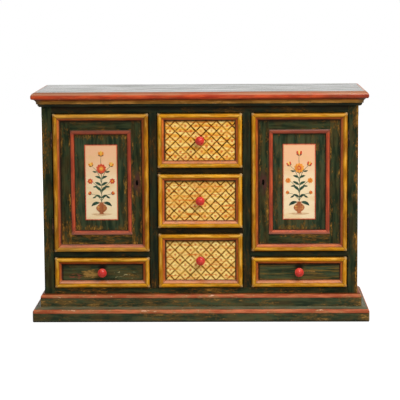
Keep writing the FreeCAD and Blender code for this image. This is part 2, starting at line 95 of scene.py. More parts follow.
class Kind(Enum):
    """Socket types of the shader groups."""

    VALUE = "NodeSocketFloat"
    COLOUR = "NodeSocketColor"
    VECTOR = "NodeSocketVector"


class Run(Enum):
    """How a timber lies: the frame axes along it, across its face and through it."""

    LEVEL = "XZY"
    UPRIGHT = "ZXY"
    END_LEVEL = "YZX"
    END_UPRIGHT = "ZYX"
    FLAT = "XYZ"
    FLAT_DEEP = "YXZ"


class Side(Enum):
    """The two halves of the cabinet, by the sign of X."""

    LEFT = -1
    RIGHT = 1

    @property
    def word(self) -> str:
        """The word that starts the names of this half's nodes."""
        return self.name.lower()


@dataclass(frozen=True)
class Rectangle:
    """An upright rectangle on the face: centre, half sizes and how far back its front lies, in metres."""

    x: float
    z: float
    half_width: float
    half_height: float
    face: float

    @classmethod
    def of_node(cls, node: str) -> "Rectangle":
        """The rectangle that a CAD node fills, seen from the front."""
        (left, front, foot), (right, _, head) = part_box(node)
        return cls((left + right) / 2, (foot + head) / 2, (right - left) / 2, (head - foot) / 2, front)


class Value:
    """What one socket gives over a surface, a number, a place or a colour, with its arithmetic."""

    def __init__(self, graph: "Graph", socket: Socket) -> None:
        """Hold one output and the graph that it is in."""
        self.graph = graph
        self.socket = socket

    def step(self, operation: str, other: "Feed" = 0.0) -> "Value":
        """One step of arithmetic, with another number where the operation has one."""
        return self.graph.math(operation, self, other)

    def __add__(self, other: "Feed") -> "Value":
        """This and another number together."""
        return self.step("ADD", other)

    def __sub__(self, other: "Feed") -> "Value":
        """This less another number."""
        return self.step("SUBTRACT", other)

    def __rsub__(self, other: float) -> "Value":
        """A plain number less this."""
        return self.graph.math("SUBTRACT", other, self)

    def __mul__(self, other: "Feed") -> "Value":
        """This times another number."""
        return self.step("MULTIPLY", other)

    def __truediv__(self, other: "Feed") -> "Value":
        """This divided by another number."""
        return self.step("DIVIDE", other)

    def __pow__(self, other: float) -> "Value":
        """This raised to a power."""
        return self.step("POWER", other)

    def __abs__(self) -> "Value":
        """This without its sign."""
        return self.step("ABSOLUTE")

    def band(self, start: "Feed", end: "Feed", low: "Feed" = 0.0, high: "Feed" = 1.0) -> "Value":
        """A smooth step from low to high while this goes from start to end, above start."""
        feeds = dict(enumerate((self, start, end, low, high)))
        return self.graph.value("ShaderNodeMapRange", feeds, interpolation_type="SMOOTHSTEP")

    def line(self, centre: float, half: float, soft: float, share: float = 1.0) -> "Value":
        """The share on a line at one place of this measure, 0 beyond its soft edges."""
        feeds = {"Centre": centre, "Half": half, "Soft": soft, "Share": share}
        return self.graph.use(painted_line(), Measure=self, **feeds)["Mask"]

    def noise(self, scale: "Feed", detail: "Feed" = 3.0, rough: "Feed" = 0.55) -> "Value":
        """Cloudy noise at this place.

        Args:
            scale: Cells per metre along each axis.
            detail: Octaves.
            rough: Strength of the finer octaves.

        Returns:
            A value from 0 to 1, mostly near the middle.
        """
        place = self.graph.value("ShaderNodeVectorMath", {0: self, 1: scale}, operation="MULTIPLY")
        feeds = {"Vector": place, "Scale": 1.0, "Detail": detail, "Roughness": rough}
        return self.graph.value("ShaderNodeTexNoise", feeds)

    def sway(self, cells: float, reach: float) -> "Value":
        """How far an unsteady hand strays at this place, in cells per metre and within a reach."""
        return self.graph.use(unsteady_hand(), Vector=self, Cells=cells, Reach=reach)["Shift"]


Feed = float | Sequence[float] | Tone | Value
Feeds = dict[int | str, Feed]


@dataclass(frozen=True)
class Patches:
    """Cloudy patches along a timber: noise cells per metre, and the noise where they start and are full."""

    cells: Point3
    start: float
    full: float
    detail: float = 3.0
    rough: float = 0.55

    def mask(self, place: Value, outside: Feed = 0.0, inside: Feed = 1.0) -> Value:
        """Their share at a place, smooth from outside to inside."""
        own = {name.capitalize(): size for name, size in vars(self).items()}
        return place.graph.use(cloudy_patches(), Vector=place, Outside=outside, Inside=inside, **own)["Mask"]


class Graph:
    """Places nodes in one shader tree and joins their sockets."""

    def __init__(self, tree: NodeTree) -> None:
        """Start on the emptied tree of a material, a world or a group."""
        self.tree = tree
        tree.nodes.clear()

    def add(self, kind: str, feeds: Feeds, **settings: object) -> bpy.types.Node:
        """Place one node.

        Args:
            kind: The node's type name.
            feeds: What its inputs get, by their numbers or names.
            settings: Values of the node's own properties.

        Returns:
            The new node.
        """
        node = self.tree.nodes.new(kind)
        for name, value in settings.items():
            setattr(node, name, value)
        for key, value in feeds.items():
            self.feed(node.inputs[key], value)
        return node

    def feed(self, socket: Socket, value: Feed) -> None:
        """Link an input to a value, or set it to a colour or a plain number.

        Args:
            socket: The input.
            value: What it gets.
        """
        if isinstance(value, Value):
            self.tree.links.new(value.socket, socket)
        else:
            socket.default_value = value.linear() if isinstance(value, Tone) else value

    def value(self, kind: str, feeds: Feeds, result: int | str = 0, **settings: object) -> Value:
        """Place one node and take one of its outputs."""
        return Value(self, self.add(kind, feeds, **settings).outputs[result])

    def math(self, operation: str, first: Feed, second: Feed) -> Value:
        """One step of arithmetic."""
        return self.value("ShaderNodeMath", {0: first, 1: second}, operation=operation)

    def tint(self, share: Feed, under: Feed, over: Feed) -> Value:
        """One colour laid over another by its share, 0 to 1."""
        return self.value("ShaderNodeMix", {0: share, 6: under, 7: over}, 2, data_type="RGBA")

    def axis(self, name: str) -> Value:
        """One frame coordinate of the shaded point at rest, X, Y or Z."""
        place = self.value("ShaderNodeTexCoord", {}, "Object")
        return self.value("ShaderNodeSeparateXYZ", {0: place}, name)

    def timber(self, run: Run) -> Value:
        """Frame coordinates turned to lie along, across and through the timber."""
        return self.value("ShaderNodeCombineXYZ", dict(enumerate(map(self.axis, run.value))))

    def turn(self, share: Feed, first: Run, second: Run) -> Value:
        """The place along one timber where share is 0, and along another where it is 1."""
        feeds = {0: share, 4: self.timber(first), 5: self.timber(second)}
        return self.value("ShaderNodeMix", feeds, 1, data_type="VECTOR")

    def use(self, group: NodeTree, **feeds: Feed) -> dict[str, Value]:
        """Place a shader group.

        Args:
            group: The group's tree.
            feeds: What its inputs get by name, with _ for each space.

        Returns:
            Its outputs by name.
        """
        named = {label.replace("_", " "): value for label, value in feeds.items()}
        node = self.add("ShaderNodeGroup", named, node_tree=group)
        return {socket.name: Value(self, socket) for socket in node.outputs}


class GroupGraph(Graph):
    """A shader group under construction, with its named inputs and outputs."""

    def __init__(self, name: str, inputs: dict[Kind, str]) -> None:
        """Make an empty group.

        Args:
            name: The group's name.
            inputs: Names of its inputs by kind, with _ for each space in a name.
        """
        super().__init__(bpy.data.node_groups.new(name, "ShaderNodeTree"))
        for kind, labels in inputs.items():
            for label in labels.split():
                name = label.replace("_", " ")
                self.tree.interface.new_socket(name, in_out="INPUT", socket_type=kind.value)
        self.given = [Value(self, socket) for socket in self.add("NodeGroupInput", {}).outputs if socket.name]
        self.result = self.add("NodeGroupOutput", {}).inputs

    def give(self, kind: Kind, **results: Value) -> None:
        """Add outputs of one type.

        Args:
            kind: Their type.
            results: Their values by name.
        """
        for label, value in results.items():
            self.tree.interface.new_socket(label, in_out="OUTPUT", socket_type=kind.value)
            self.feed(self.result[label], value)


@cache
def brushed_paint() -> NodeTree:
    """Shader group: paint brushed along the timber, glazed in patches and rubbed through in flecks.

    Returns:
        The group's tree.
    """
    graph = GroupGraph("Brushed Paint", {Kind.VECTOR: "Vector", Kind.COLOUR: "Deep Pale Stain Rub",
                                         Kind.VALUE: "Mottle Wear"})
    place, deep, pale, stain, rub, mottle, wear = graph.given
    brush = place.noise((10, 75, 75), 4.0, 0.6)
    patch = place.noise((9, 20, 20), 3.0, 0.6)
    streak = place.noise((34, 120, 120), 4.0, 0.65)
    fleck = place.noise((110, 320, 320), 2.0, 0.6)
    spread = place.noise((4, 7, 7), 2.0).band(0.35, 0.65, -1.0, 1.0)
    clouded = place.noise((13, 26, 26), 3.0, 0.6).band(0.44, 0.62)
    colour = graph.tint(brush.band(0.38, 0.62), deep, pale)
    colour = graph.tint(clouded * mottle, colour, stain)
    # Glaze and bare flecks come where patches, streaks and flecks add up, and sooner with more wear.
    stained = 0.61 - wear * 0.15 - spread * 0.05
    glaze = (patch * 0.35 + streak * 0.4 + fleck * 0.25).band(stained, stained + 0.1)
    colour = graph.tint(glaze * 0.85, colour, stain)
    bared = 0.68 - wear * 0.15 - spread * 0.03
    rubbed = (patch * 0.3 + streak * 0.4 + fleck * 0.3).band(bared, bared + 0.085)
    graph.give(Kind.COLOUR, Color=graph.tint(rubbed * 0.9, colour, rub))
    relief = fleck * 0.5 + brush * 0.5 - rubbed * 0.4
    graph.give(Kind.VALUE, Roughness=streak.band(0.3, 0.7, 0.42, 0.64), Height=relief)
    return graph.tree


@cache
def frame_inset() -> NodeTree:
    """Shader group: where a point lies inside a rectangle on the cabinet's face.

    Returns:
        The group's tree.
    """
    graph = GroupGraph("Frame Inset", {Kind.VALUE: "Centre_X Centre_Z Half_Width Half_Height Face"})
    x, z, half_width, half_height, face = graph.given
    beside = graph.axis("X") - x
    above = graph.axis("Z") - z
    side = half_width - abs(beside)
    level = half_height - abs(above)
    front = graph.axis("Y").band(face + 1 * MM, face + 3 * MM, 1.0, 0.0)
    graph.give(Kind.VALUE, Inset=side.step("MINIMUM", level), Upright=side.step("LESS_THAN", level),
               Mitre=abs(side - level), Corner=(side ** 2 + level ** 2).step("SQRT"),
               Beside=beside, Above=above, Front=front)
    return graph.tree


@cache
def painted_line() -> NodeTree:
    """Shader group: a line with soft edges at one place of a measure.

    Returns:
        The group's tree.
    """
    graph = GroupGraph("Painted Line", {Kind.VALUE: "Measure Centre Half Soft Share"})
    measure, centre, half, soft, share = graph.given
    graph.give(Kind.VALUE, Mask=abs(measure - centre).band(half, half + soft, share, 0.0))
    return graph.tree


@cache
def cloudy_patches() -> NodeTree:
    """Shader group: patches of cloudy noise with soft edges.

    Returns:
        The group's tree.
    """
    graph = GroupGraph("Cloudy Patches", {Kind.VECTOR: "Vector Cells",
                                          Kind.VALUE: "Start Full Detail Rough Outside Inside"})
    place, cells, start, full, detail, rough, outside, inside = graph.given
    graph.give(Kind.VALUE, Mask=place.noise(cells, detail, rough).band(start, full, outside, inside))
    return graph.tree


@cache
def unsteady_hand() -> NodeTree:
    """Shader group: how far a painter's hand strays to either side.

    Returns:
        The group's tree.
    """
    graph = GroupGraph("Unsteady Hand", {Kind.VECTOR: "Vector", Kind.VALUE: "Cells Reach"})
    place, cells, reach = graph.given
    feeds = {"Vector": place, "Scale": cells, "Detail": 3.0, "Roughness": 0.55}
    graph.give(Kind.VALUE, Shift=(graph.value("ShaderNodeTexNoise", feeds) - 0.5) * reach)
    return graph.tree


@cache
def worn_spot() -> NodeTree:
    """Shader group: an oval spot that fades from its middle.

    Returns:
        The group's tree.
    """
    graph = GroupGraph("Worn Spot", {Kind.VALUE: "Beside Above X Z Wide High Share"})
    beside, above, x, z, wide, high, share = graph.given
    reach = ((beside - x) / wide) ** 2 + ((above - z) / high) ** 2
    graph.give(Kind.VALUE, Mask=reach.band(0.0, 1.0, share, 0.0))
    return graph.tree


@cache
def rim_shade() -> NodeTree:
    """Shader group: painted shade along the foot of a front's moulding, most under the upper one.

    Returns:
        The group's tree.
    """
    graph = GroupGraph("Rim Dirt", {Kind.VALUE: "Inset Beside Above Front Half_Width Half_Height"})
    inset, beside, above, front, half_width, half_height = graph.given
    rims = ((inset, 4 * MM, 0.9), (half_height - above, 13 * MM, 0.8), (half_width + beside, 9 * MM, 0.8))
    unshaded = [1.0 - (depth - MOULDING_WIDTH).band(0.0, reach, share, 0.0) * front
             for depth, reach, share in rims]
    graph.give(Kind.VALUE, Mask=1.0 - unshaded[0] * unshaded[1] * unshaded[2])
    return graph.tree


@cache
def painted_lattice() -> NodeTree:
    """Shader group: hand-drawn diagonal lattice with a dot in every diamond.

    Returns:
        The group's tree.
    """
    names = "Centre_X Centre_Z Spacing Rise_Start Fall_Start Line_Width Dot_Size"
    graph = GroupGraph("Painted Lattice", {Kind.VALUE: names})
    x, z, spacing, rise_start, fall_start, line_width, dot_size = graph.given
    flat = graph.timber(Run.LEVEL)
    across = graph.axis("X") - x + (flat.noise((14, 14, 14)) - 0.5) * (7 * MM)
    up = graph.axis("Z") - z
    hand = flat.noise((60, 60, 60), 2.0)
    half = line_width * hand.band(0.3, 0.7, 0.3, 0.65)
    pitch = spacing / math.sqrt(2)
    # Both sets of lines are counted along their own diagonal. A dot lies halfway between lines of both.
    lines, bleeds, squares = [], [], []
    for along in (across - up - rise_start, across + up - fall_start):
        off = abs((along / spacing).step("FRACT") - 0.5)
        gap = (0.5 - off) * pitch
        lines.append(gap.band(half, half + 0.8 * MM, 1.0, 0.0))
        bleeds.append(gap.band(half, half + 7 * MM, 1.0, 0.0))
        squares.append((off * pitch) ** 2)
    fade = flat.noise((22, 22, 22)).band(0.34, 0.54, 0.55, 1.0)
    size = dot_size * hand.band(0.3, 0.7, 0.6, 1.2)
    dot = (squares[0] + squares[1]).step("SQRT").band(size * 0.4, size * 1.15, 1.0, 0.0)
    pressed = flat.noise((27, 27, 27), 2.0).band(0.34, 0.55, 0.4, 1.0)
    graph.give(Kind.VALUE, Line=lines[0].step("MAXIMUM", lines[1]) * fade,
               Bleed=bleeds[0].step("MAXIMUM", bleeds[1]), Dot=dot * pressed)
    return graph.tree


@cache
def pine_grain() -> NodeTree:
    """Shader group: growth rings of plain pine along the timber.

    Returns:
        The group's tree.
    """
    graph = GroupGraph("Pine Grain", {Kind.VECTOR: "Vector", Kind.COLOUR: "Pale Dark Age",
                                      Kind.VALUE: "Board"})
    place, pale, dark, age, board = graph.given
    across, through = (graph.value("ShaderNodeSeparateXYZ", {0: place}, axis) for axis in "YZ")
    # Every board is sawn from another place of the log, so its rings have a pith of their own.
    count = across / board
    chance = graph.value("ShaderNodeTexWhiteNoise", {"W": count.step("FLOOR")}, noise_dimensions="1D")
    aside = (count.step("FRACT") - 0.5) * board + chance * 0.07 - 0.035 + through * 0.4
    under = place.noise((0.9, 0.2, 0.2), 2.0) * 0.2 + chance * 0.05 - 0.07
    pith = (aside ** 2 + under ** 2).step("SQRT")
    ring = (pith * 150 + place.noise((3, 40, 40)) * 1.2).step("FRACT")
    late = ring.band(0.3, 0.9) * ring.band(0.93, 1.0, 1.0, 0.0)
    fibre = place.noise((9, 600, 600), 2.0)
    wood = graph.tint(late * 0.55, pale, dark)
    wood = graph.tint(fibre.band(0.4, 0.75, 0.0, 0.3), wood, dark)
    old = place.noise((2.5, 8, 8), 4.0) * 0.8 + chance * 0.2
    graph.give(Kind.COLOUR, Color=graph.tint(old.band(0.38, 0.68, 0.0, 0.65), wood, age))
    graph.give(Kind.VALUE, Roughness=late.band(0.0, 1.0, 0.72, 0.58), Height=fibre * 0.6 + late * 0.4)
    return graph.tree


@cache
def edge_wear() -> NodeTree:
    """Shader group: patchy rubbing on the outer edges of a piece.

    Returns:
        The group's tree.
    """
    graph = GroupGraph("Edge Wear", {Kind.VECTOR: "Vector", Kind.VALUE: "Width Amount"})
    place, width, amount = graph.given
    rounded = graph.value("ShaderNodeBevel", {"Radius": width}, samples=4)
    normal = graph.value("ShaderNodeNewGeometry", {}, "Normal")
    facing = graph.value("ShaderNodeVectorMath", {0: rounded, 1: normal}, "Value", operation="DOT_PRODUCT")
    start = 0.72 - amount * 0.4
    patchy = place.noise((25, 60, 60), 4.0, 0.65).band(start, start + 0.1)
    graph.give(Kind.VALUE, Mask=(1.0 - facing).band(0.02, 0.14) * patchy)
    return graph.tree


@dataclass(frozen=True)
class Palette:
    """The tones of one brushed paint: its thick and thin coat, the glaze on it and what is under it."""

    deep: Tone
    pale: Tone
    stain: Tone
    rub: Tone
    mottle: float = 0.2


class Paint(Enum):
    """The paints on the cabinet, and from LEAF on those of its pictures."""

    GREEN = Palette(Tone(21, 31, 16), Tone(51, 58, 34), Tone(106, 71, 25), Tone(172, 124, 50), 0.14)
    PANEL_GREEN = Palette(Tone(27, 40, 25), Tone(57, 68, 45), Tone(106, 74, 28), Tone(172, 128, 56), 0.14)
    DARK_GREEN = Palette(Tone(18, 26, 16), Tone(38, 45, 28), Tone(62, 42, 14), Tone(110, 76, 32))
    PALE_GREEN = Palette(Tone(34, 44, 27), Tone(66, 74, 47), Tone(102, 76, 36), Tone(160, 122, 62), 0.3)
    OCHRE = Palette(Tone(186, 116, 8), Tone(230, 158, 26), Tone(146, 122, 24), Tone(246, 194, 86))
    DULL_OCHRE = Palette(Tone(126, 74, 18), Tone(182, 112, 38), Tone(104, 74, 26), Tone(214, 150, 72))
    BRICK = Palette(Tone(170, 70, 16), Tone(214, 112, 40), Tone(130, 56, 16), Tone(236, 148, 90))
    BEAD_RED = Palette(Tone(144, 50, 20), Tone(188, 79, 38), Tone(106, 45, 24), Tone(210, 128, 88))
    PLINTH_RED = Palette(Tone(152, 70, 40), Tone(192, 106, 68), Tone(148, 104, 62), Tone(222, 168, 138))
    SCARLET = Palette(Tone(158, 44, 12), Tone(202, 76, 32), Tone(132, 62, 28), Tone(212, 138, 92))
    BUFF = Palette(Tone(238, 176, 66), Tone(255, 236, 148), Tone(238, 162, 60), Tone(255, 252, 200))
    LEDGE = Palette(Tone(72, 74, 54), Tone(98, 98, 74), Tone(98, 78, 50), Tone(140, 116, 78))
    UMBER = Palette(Tone(98, 40, 10), Tone(132, 64, 22), Tone(80, 40, 14), Tone(160, 100, 50))
    # Nearly black brown, for the centre rails between the drawers.
    SMOKED = Palette(Tone(18, 14, 4), Tone(38, 30, 11), Tone(60, 40, 14), Tone(108, 70, 26))
    # Lighter ochre for the painted highlight low on the cornice.
    WORN_OCHRE = Palette(Tone(146, 100, 36), Tone(200, 142, 64), Tone(112, 84, 34), Tone(220, 170, 98))
    LEAF = Palette(Tone(30, 52, 42), Tone(52, 80, 58), Tone(40, 58, 36), Tone(92, 112, 72), 0.0)
    SAGE = Palette(Tone(112, 136, 96), Tone(138, 156, 112), Tone(104, 122, 82), Tone(176, 180, 130), 0.0)
    RED = Palette(Tone(190, 62, 38), Tone(216, 88, 54), Tone(160, 54, 38), Tone(230, 136, 92), 0.0)
    ORANGE = Palette(Tone(222, 132, 40), Tone(238, 158, 66), Tone(206, 112, 38), Tone(246, 190, 110), 0.0)
    YOLK = Palette(Tone(228, 178, 66), Tone(244, 206, 104), Tone(216, 156, 56), Tone(250, 224, 150), 0.0)
    CLAY = Palette(Tone(150, 82, 46), Tone(182, 108, 64), Tone(128, 72, 44), Tone(206, 144, 98), 0.0)
    SHADE = Palette(Tone(206, 168, 124), Tone(220, 184, 142), Tone(196, 154, 112), Tone(230, 200, 160), 0.0)

    def brush(self, graph: Graph, vector: Value, wear: Feed) -> dict[str, Value]:
        """Colour, roughness and height of this paint, brushed along the timber and worn from 0 to 1."""
        tones = {name.capitalize(): part for name, part in vars(self.value).items()}
        return graph.use(brushed_paint(), Vector=vector, Wear=wear, **tones)


@dataclass(frozen=True)
class Spot:
    """An oval spot on a front: its middle from the front's, its reach and its strength there."""

    x: float
    z: float
    wide: float
    high: float
    share: float = 1.0


WHITE = Tone(255, 255, 255)
# Dark brown for dirt in joints and mitres, and for painted shade under mouldings, the cornice and in creases.
GRIME_AND_SHADE = Tone(26, 15, 7)
BARE_WOOD = Tone(204, 168, 118)


class Surface(Graph):
    """A material under construction: its one Principled shader and what is laid on it so far."""

    colour: Feed
    rough: Feed
    height: Feed

    def __init__(self, name: str, plain: dict[str, float], outline: Rectangle | None) -> None:
        """Make a material with its shader.

        Args:
            name: The material's name.
            plain: Shader values that are the same all over, by socket name.
            outline: The rectangle on the face that its layers are measured against, if they are.
        """
        self.material = bpy.data.materials.new(name)
        self.material.use_nodes = True
        super().__init__(self.material.node_tree)
        self.shader = self.add("ShaderNodeBsdfPrincipled", plain)
        self.add("ShaderNodeOutputMaterial", {"Surface": Value(self, self.shader.outputs[0])})
        self.outline = outline
        if outline:
            self.measure = self.use(frame_inset(), Centre_X=outline.x, Centre_Z=outline.z, Face=outline.face,
                                    Half_Width=outline.half_width, Half_Height=outline.half_height)

    def start(self, coat: dict[str, Value]) -> None:
        """Take colour, roughness and relief from a group's outputs."""
        self.colour, self.rough, self.height = coat["Color"], coat["Roughness"], coat["Height"]

    def lay(self, share: Feed, over: Feed) -> None:
        """Lay another colour over what is there, by its share."""
        self.colour = self.tint(share, self.colour, over)

    def spot(self, spot: Spot) -> Value:
        """The mask of an oval spot on the outline.

        Args:
            spot: Where it is and how strong.

        Returns:
            Its share, 0 outside it.
        """
        sizes = {name.capitalize(): size for name, size in vars(spot).items()}
        place = {label: self.measure[label] for label in ("Beside", "Above")}
        return self.use(worn_spot(), **place, **sizes)["Mask"]

    def shade_rim(self) -> None:
        """Darken a front with painted shade along the foot of its moulding."""
        place = {label: self.measure[label] for label in ("Inset", "Beside", "Above", "Front")}
        sizes = {"Half_Width": self.outline.half_width, "Half_Height": self.outline.half_height}
        self.lay(self.use(rim_shade(), **place, **sizes)["Mask"], GRIME_AND_SHADE)

    def finish(self, depth: float) -> Material:
        """Join colour, roughness and relief to the shader.

        Args:
            depth: Depth of the full relief in metres.

        Returns:
            The finished material.
        """
        relief = self.value("ShaderNodeBump", {"Strength": 0.6, "Distance": depth, "Height": self.height})
        for label, value in (("Base Color", self.colour), ("Roughness", self.rough), ("Normal", relief)):
            self.feed(self.shader.inputs[label], value)
        return self.material


class Finish:
    """A finish: the plain values of its shader, the depth of its relief and its layers."""

    plain: ClassVar[dict[str, float]] = {"Specular IOR Level": 0.06}
    depth: ClassVar[float] = 0.3 * MM

    def paint(self, surface: Surface) -> None:
        """Lay the layers on. Every finish has its own."""
        raise NotImplementedError

    @cache
    def material(self, name: str, outline: Rectangle | None = None) -> Material:
        """Make the finish's material, once for each name.

        Args:
            name: The material's name.
            outline: The rectangle on the face that the layers are measured against.

        Returns:
            The material.
        """
        surface = Surface(name, self.plain, outline)
        self.paint(surface)
        return surface.finish(self.depth)


@dataclass(frozen=True)
class GreenPaint(Finish):
    """Dark green paint of the face frame and the sides, rubbed at its edges."""

    run: Run
    wear: float = 0.4
    coat: Paint = Paint.GREEN
    shade: Point2 | None = None
    edge_width: float = 4 * MM
    edge_amount: float = 0.4

    def wear_on(self, surface: Surface) -> Feed:
        """How far it is worn over the surface."""
        return self.wear

    def paint(self, surface: Surface) -> None:
        """Brush it on, bare its edges and paint the shadow that a moulding casts.

        Args:
            surface: The material.
        """
        vector = surface.timber(self.run)
        surface.start(self.coat.brush(surface, vector, self.wear_on(surface)))
        edge = surface.use(edge_wear(), Vector=vector, Width=self.edge_width, Amount=self.edge_amount)
        surface.lay(edge["Mask"], self.coat.value.rub)
        # Painted shadow under the cornice, where a shade band is given.
        if self.shade:
            surface.lay(surface.axis("Z").band(*self.shade, 0.0, 0.7), GRIME_AND_SHADE)


@dataclass(frozen=True)
class StileGreen(GreenPaint):
    """Green of the outer stiles, worn towards the cabinet's corners, most of all low on the right."""

    worn_edge: float = 32 * MM
    worn_foot: float = 0.3
    corner_wear: Point2 = (0.5, 0.75)
    foot_wear: Point2 = (1.05, 0.35)

    def wear_on(self, surface: Surface) -> Feed:
        """How far it is worn over the surface.

        Args:
            surface: The material.

        Returns:
            The wear.
        """
        low, (right, _, _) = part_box("stiles")
        x = surface.axis("X")
        foot = surface.axis("Z").band(low[2], low[2] + self.worn_foot, *self.foot_wear)
        corner = abs(x).band(right - self.worn_edge, right, *self.corner_wear)
        return corner + x.band(right - self.worn_edge / 2, right) * foot


@dataclass(frozen=True)
class PanelGreen(GreenPaint):
    """Green of a sunk panel, whose outline is its picture's, worn less near the picture."""

    plain_wear: float = 0.4
    fade: Point2 = (-32 * MM, -9 * MM)

    def wear_on(self, surface: Surface) -> Feed:
        """Wear that grows from the picture to the bead, on the front only."""
        wear = surface.measure["Inset"].band(*self.fade, self.wear, self.plain_wear)
        return surface.measure["Front"].band(0.0, 1.0, self.plain_wear, wear)


@dataclass(frozen=True)
class DoorGreen(Finish):
    """Green of a door's frame, brushed along stiles and rails and handled round the keyhole.

    The lock is at the right where lock_side is 1, and at the left where it is -1.
    """

    lock_side: int
    stile: float = 67.5 * MM
    keyhole_inset: float = 46.5 * MM
    keyhole_reach: Point2 = (5.5 * MM, 12.5 * MM)
    stain_reach: Point2 = (20 * MM, 62 * MM)
    handled: Tone = Tone(76, 44, 38)
    touches: Patches = Patches((30, 60, 60), 0.3, 0.6)
    blackened: Tone = Tone(8, 5, 5)
    wear: float = 0.67
    rim_wear: float = 0.5
    spared_rails: float = 0.26
    spared_inner: float = 0.15
    inside_wear: float = 0.4

    def paint(self, surface: Surface) -> None:
        """Brush it on, stain it where hands touch round the keyhole, and paint shade round the keyhole and
        along the moulding's foot.

        Args:
            surface: The material of one door.
        """
        measure, half_width = surface.measure, surface.outline.half_width
        on_stile = abs(measure["Beside"]).step("GREATER_THAN", half_width - self.stile)
        vector = surface.turn(on_stile, Run.LEVEL, Run.UPRIGHT)
        middle = (MOULDING_WIDTH + self.stile) / 2
        off_middle = abs(measure["Inset"] - middle)
        wear = off_middle.band(3 * MM, self.stile - middle, self.wear, self.wear + self.rim_wear)
        wear = wear - (measure["Beside"] * self.lock_side).band(0.0, 0.1, 0.0, self.spared_inner)
        wear = wear - on_stile.band(0.0, 1.0, self.spared_rails, 0.0)
        wear = surface.measure["Front"].band(0.0, 1.0, self.inside_wear, wear)
        surface.start(Paint.GREEN.brush(surface, vector, wear))
        keyhole = self.lock_side * (half_width - self.keyhole_inset)
        touched = surface.spot(Spot(keyhole, 0.0, *self.stain_reach, 0.9))
        surface.lay(touched * self.touches.mask(vector, 0.3, 1.0), self.handled)
        # Near-black painted shade round the keyhole, so that the hole reads larger.
        rim = surface.spot(Spot(keyhole, 0.0, *self.keyhole_reach, 6.0))
        surface.lay(rim.step("MINIMUM", 0.97), self.blackened)
        # Painted shade along the foot of the moulding.
        surface.shade_rim()


@dataclass(frozen=True)
class DrawerGreen(Finish):
    """Green of a low drawer's front, rubbed by the hand beside its knob and scratched along the grain."""

    rubbed: Spot
    scratched: float
    red: Spot | None = None
    chips: Spot | None = None
    soot: Spot = Spot(0.0, 21 * MM, 24 * MM, 13 * MM, 0.95)
    wear: float = 0.5
    old_red: Tone = Tone(136, 66, 52)
    chip: Tone = Tone(158, 148, 104)
    scratch: Tone = Tone(118, 92, 38)
    scratches: Patches = Patches((7, 170, 170), 0.51, 0.6, rough=0.6)
    speckles: Patches = Patches((50, 160, 160), 0.44, 0.58)
    flakes: Patches = Patches((70, 120, 120), 0.6, 0.7)

    def paint(self, surface: Surface) -> None:
        """Brush it on, mark it with scratches, an older red and chips, darken a spot above the knob, and
        paint shade along the moulding's foot.

        Args:
            surface: The material of one drawer.
        """
        vector = surface.timber(Run.LEVEL)
        surface.start(Paint.PALE_GREEN.brush(surface, vector, surface.spot(self.rubbed) + self.wear))
        surface.lay(self.scratches.mask(vector, 0.0, self.scratched), self.scratch)
        if self.red:
            surface.lay(surface.spot(self.red) * self.speckles.mask(vector), self.old_red)
        if self.chips:
            surface.lay(surface.spot(self.chips) * self.flakes.mask(vector), self.chip)
        # A dark spot above the knob, then painted shade along the moulding's foot.
        surface.lay(surface.spot(self.soot), GRIME_AND_SHADE)
        surface.shade_rim()


